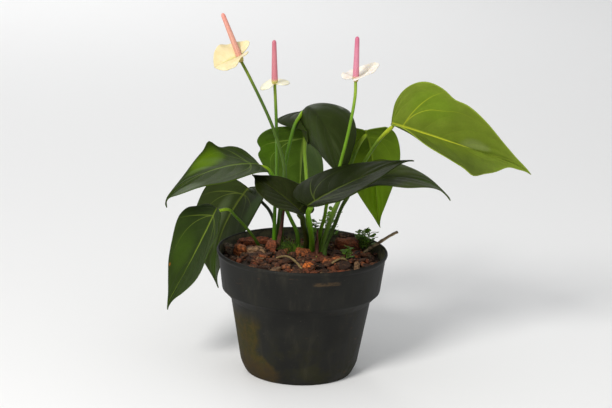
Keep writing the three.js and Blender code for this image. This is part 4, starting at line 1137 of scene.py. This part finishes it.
def make_mulch():
    """The bark: the model's big chips, many smaller ones on and between them, and crumbs."""
    rng = np.random.default_rng(11)
    rim = inner_radius(SOIL_TOP + MULCH) - GAP
    heap = Heap()
    draw = drawn(3)
    for i in range(CHIPS):
        radius = (rim - 9) * math.sqrt((i + 0.5) / CHIPS)
        size = [10 + 9 * next(draw), 8 + 5 * next(draw), 4 + 4 * next(draw)]
        corners = chip_corners(size, draw)
        turn = rotation(0.5 * (next(draw) - 0.5), 0.4 * (next(draw) - 0.5), TURN * next(draw))
        points, faces = chip(corners, 6, 1.1, i)
        tint = varied(BARK_TINTS[CHIP_TINTS[i % len(CHIP_TINTS)]], rng)
        heap.add(points @ turn.T + on_bed(radius, i * CHIP_ANGLE, 2 * GAP + 0.6), faces, tint=tint)
    for i in range(SMALL_CHIPS):
        radius = (rim - 2.5) * math.sqrt(rng.uniform(0.002, 1))
        angle = rng.uniform(0, CIRCLE)
        long = rng.uniform(5.5, 14) if radius < rim - 7 else rng.uniform(4, 8)
        size = np.array([long, long * rng.uniform(0.4, 0.8), rng.uniform(1.8, 4.2)])
        corners = {signs: size / 2 * np.array(signs) * rng.uniform(0.62, 1.12, 3) for signs in CORNERS}
        points, faces = chip(corners, 6, 0.8, 200 + i)
        turn = rotation(rng.normal(0, 0.28), rng.normal(0, 0.28), rng.uniform(0, TURN))
        middle = on_bed(radius, angle, rng.uniform(0.2, 3.4))
        tint = varied(BARK_TINTS[CHIP_TINTS[rng.integers(len(CHIP_TINTS))]], rng, 0.3)
        heap.add(points @ turn.T + middle, faces, tint=tint)
    for i in range(CRUMBS):
        radius = (rim - 1.5) * math.sqrt(rng.uniform(0.002, 1))
        angle = rng.uniform(0, CIRCLE)
        size = rng.uniform(0.5, 1.5)
        block = np.array([size * np.array(signs) * rng.uniform(0.5, 1.1, 3) for signs in CORNERS])
        middle = on_bed(radius, angle, rng.uniform(0.6, 4.2))
        tint = varied(BARK_TINTS[CRUMB_TINTS[rng.integers(len(CRUMB_TINTS))]], rng, 0.4)
        heap.add(block @ rotation(*rng.uniform(0, TURN, 3)).T + middle, BLOCK, tint=tint)
    heap.finer("bark_mulch", bark, "bark")
    make_bed(rim)


def make_bed(rim):
    """The dark crumbly bed that shows between the chips."""
    rings, sides = 44, 150
    points = []
    for r in range(rings + 1):
        radius = rim * r / rings
        for a in around(sides) if r else [0]:
            x, y, z = on_bed(radius, a, 0.3)
            lumps = 1.3 * noise.noise(Vector((x, y, 0)) / 7) + 0.9 * noise.noise(Vector((x, y, 5)) / 2.6)
            points.append((x, y, z + lumps * min(1, (rings - r) / 3 + 0.3)))
    points += [(rim * math.cos(a), rim * math.sin(a), SOIL_TOP + 3 * GAP) for a in around(sides)]
    under = tuple(range(len(points) - 1, len(points) - sides - 1, -1))
    piece("bark_bed", points, [*cap(0, 1, sides), *flipped(bands(rings + 1, sides, 1)), under], soil, "soil")


# ---- seedlings and moss ----


def leaflet(radius, heading, tilt, dip):
    """A small oval leaf, cupped, with its stalk end towards -heading."""
    sides = 10
    points = [(0, 0, -0.12 * radius)]
    for share, lift in ((0.55, 0.02), (1.0, 0.18)):
        for angle in around(sides):
            pinch = 1 - 0.18 * math.cos(angle) ** 2
            along, across = 1.2 * share * radius * math.cos(angle), share * radius * math.sin(angle) * pinch
            points.append((along, across, lift * radius))
    return np.array(points) @ rotation(tilt, dip, heading).T, cap(0, 1, sides) + flipped(bands(2, sides, 1))


def twin(points, faces, thickness):
    """A closed sheet from an open one: the same points again below."""
    count = len(points)
    sides = [edge for face in faces for edge in zip(face, face[1:] + face[:1])]
    rim = [(a, b) for a, b in sides if (b, a) not in sides]
    below = [tuple(v + count for v in face) for face in flipped(faces)]
    walls = [(b, a, a + count, b + count) for a, b in rim]
    return np.concatenate([points, points - (0, 0, thickness)]), faces + below + walls


def make_weed(name, at, tall, spread, leaves, draw, rng):
    """A seedling: a stem, side stalks with oval leaves where the model has them, and small ones between."""
    heap = Heap()
    x, y, z = at
    stem = [at, (x, y + 1, z + tall / 2), (x + 0.3 * spread, y, z + tall)]
    curve = spline(stem, 101)
    heap.add(*tube(spline(stem, 14), np.linspace(0.6, 0.35, 14), 7), vary=0.55)

    def side_leaf(height, angle, reach, rise, radius, vary):
        start = curve[int(round(100 * height))]
        out = np.array([math.cos(angle), math.sin(angle), 0])
        end = start + out * reach + (0, 0, rise)
        middle = (start + end) / 2 + (0, 0, 0.12 * reach)
        heap.add(*tube(spline([start, middle, end], 7), np.linspace(0.34, 0.22, 7), 5), vary=0.5)
        oval = leaflet(radius, angle, rng.normal(0, 0.25), rng.normal(0, 0.3) - 0.15)
        points, faces = twin(*oval, 0.22)
        heap.add(points + end + out * radius * 0.9, faces, vary=vary)

    for i in range(leaves):
        height = 0.35 + 0.6 * i / (leaves - 1)
        reach = spread * (1.15 - 0.6 * height) * (0.7 + 0.5 * next(draw))
        rise = 2.5 * next(draw) + 1
        radius = 1.9 + 0.6 * next(draw)
        next(draw)
        side_leaf(height, i * SPIRAL, reach * 0.72, rise, radius, rng.uniform(0.25, 0.75))
    for i in range(leaves * 5):
        height = rng.uniform(0.3, 0.99)
        side_leaf(height, rng.uniform(0, TURN), spread * rng.uniform(0.15, 0.8), rng.uniform(0, 3),
                  rng.uniform(1.1, 2.0), rng.uniform(0.2, 1.0))
    heap.finer(f"weed_{name}", weed_green, "weed")


def frond(heap, base, tip, droop, width, leaflets, vary):
    """A fern-like sprig: a thin arched rib with two rows of small pointed leaflets."""
    base, tip = np.array(base, float), np.array(tip, float)
    path = spline([base, (base + tip) / 2 + (0, 0, droop), tip], leaflets + 2)
    heap.add(*tube(path, np.linspace(0.28, 0.1, len(path)), 4), vary=vary * 0.8)
    ahead = np.gradient(path, axis=0)
    for i in range(1, leaflets + 1):
        a = path[i]
        forward = ahead[i] / np.linalg.norm(ahead[i])
        side = np.cross(forward, (0, 0, 1))
        side /= max(np.linalg.norm(side), 1e-6)
        size = width * (1 - 0.75 * (i / (leaflets + 1)) ** 1.5)
        for sign in (-1, 1):
            out = side * sign * size + forward * size * 0.55 + (0, 0, -0.12 * size)
            before, behind = forward * size * 0.22, forward * size * 0.16
            leaf = np.array([a, a + out * 0.5 + before, a + out, a + out * 0.5 - behind])
            faces = [(0, 1, 2, 3), (7, 6, 5, 4), (0, 4, 5, 1), (1, 5, 6, 2), (2, 6, 7, 3), (3, 7, 4, 0)]
            heap.add([*leaf, *(leaf - (0, 0, 0.12))], faces if sign > 0 else flipped(faces), vary=vary)


def make_moss():
    """A tuft of moss with small ferns standing out of it, and loose moss round its foot."""
    rng = np.random.default_rng(5)
    x, y, z = MOSS["at"]
    tall = MOSS["height"]
    heap = Heap()
    sprigs = 96
    for i in range(sprigs):
        lean = 0.12 + 0.95 * math.sqrt((i + 0.5) / sprigs)
        angle = i * SPIRAL
        reach = tall * rng.uniform(0.65, 1.12)
        tip = (x + lean * reach * math.cos(angle), y + lean * reach * math.sin(angle) * 0.8,
               z + 2 + reach * (1.15 - 0.75 * lean))
        start = (x + 3.5 * lean * math.cos(angle), y + 3.5 * lean * math.sin(angle), z + 1)
        frond(heap, start, tip, rng.uniform(0.3, 2.0), rng.uniform(1.2, 2.1), 8, rng.uniform(0.0, 0.6))
    # a bright young cluster at the front, and dark sprigs that arch out to the sides
    for i in range(30):
        foot = np.array([x + rng.uniform(3, 10), y - 7 + rng.uniform(-2, 2), z + 2])
        tip = foot + (rng.normal(0, 2.5), rng.normal(-1, 2), rng.uniform(5, 12))
        frond(heap, foot, tip, rng.uniform(0.2, 1.2), rng.uniform(1.1, 1.8), 7, rng.uniform(0.9, 1.5))
    for side, high in ((14, 25), (17, 20), (11, 30), (-7, 17), (-9, 14), (19, 28)):
        frond(heap, (x + 2, y + 4, z + 3), (x + side, y + 3, z + high), 4, 2.2, 12, 0.0)
    # a low cushion of short shoots
    wide = MOSS["radius"] * 1.12
    for i in range(420):
        radius = wide * math.sqrt(rng.uniform(0, 1))
        angle = rng.uniform(0, CIRCLE)
        foot = np.array([x + radius * math.cos(angle), y + radius * math.sin(angle) * 0.85, z - 0.2])
        dome = tall * 0.5 * math.sqrt(max(0.05, 1 - (radius / wide) ** 2))
        top = foot + (rng.normal(0, 0.9), rng.normal(0, 0.9), dome * rng.uniform(0.6, 1.05) + 1)
        path = [foot, (foot + top) / 2 + rng.normal(0, 0.2, 3), top]
        heap.add(*tube(path, [0.55, 0.5, 0.1], 4), vary=rng.uniform(0.0, 0.7))
    heap.finer("moss_tuft", moss_green, "moss")


# ---- the whole plant ----

look()
pot_plastic = pot_material()
bark = bark_material()
soil = soil_material()
weed_green = green_material("weed_green", (38, 62, 18), (112, 146, 40))
moss_green = green_material("moss_green", (24, 38, 10), (104, 136, 28), roughness=0.75)
red_sheath = dry_material("red_sheath", (48, 24, 17), (80, 42, 31), (116, 74, 54))
green_bud = dry_material("green_bud", (96, 120, 40), (128, 152, 56), (160, 176, 80), roughness=0.5)
root_skin = dry_material("root_skin", (84, 68, 40), (122, 102, 64), (156, 136, 92), 1.0, (1, 1, 1))
twig_skin = dry_material("twig_skin", (74, 60, 44), (120, 102, 74), (162, 144, 112), 1.6, (0.3, 1, 0.5))
crown_skin = dry_material("crown_skin", (74, 60, 36), (120, 104, 66), (150, 140, 92), 2.0, (1, 1, 1))

for leaf in LEAVES:
    make_leaf(leaf)
for bloom in BLOOMS:
    make_bloom(bloom)
for (name, path), material in zip(SHEATHS.items(), (red_sheath, red_sheath, green_bud)):
    make_sheath(name, path, material)
for number, (name, path) in enumerate(AERIAL_ROOTS.items()):
    make_dry_tube(name, path, np.full(70, 0.9), 10, [(0.3, 0.2), (0.66, 0.25)], root_skin, "root", number)
twig_knots = [(0.35, 0.3), (0.62, 0.22), (0.9, 0.15)]
make_dry_tube("twig", TWIG, np.linspace(1.6, 1.2, 60), 12, twig_knots, twig_skin, "twig", 9)
make_pot()
make_mulch()
for number, chunk in enumerate(CHUNKS):
    make_chunk(number, *chunk)
weed_draws = drawn(7)
weed_rng = np.random.default_rng(7)
for weed in WEEDS:
    make_weed(*weed, weed_draws, weed_rng)
make_moss()
for node, material in (("potting_mix", soil), ("rhizome", crown_skin)):
    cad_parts[node].data.materials.clear()
    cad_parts[node].data.materials.append(material)
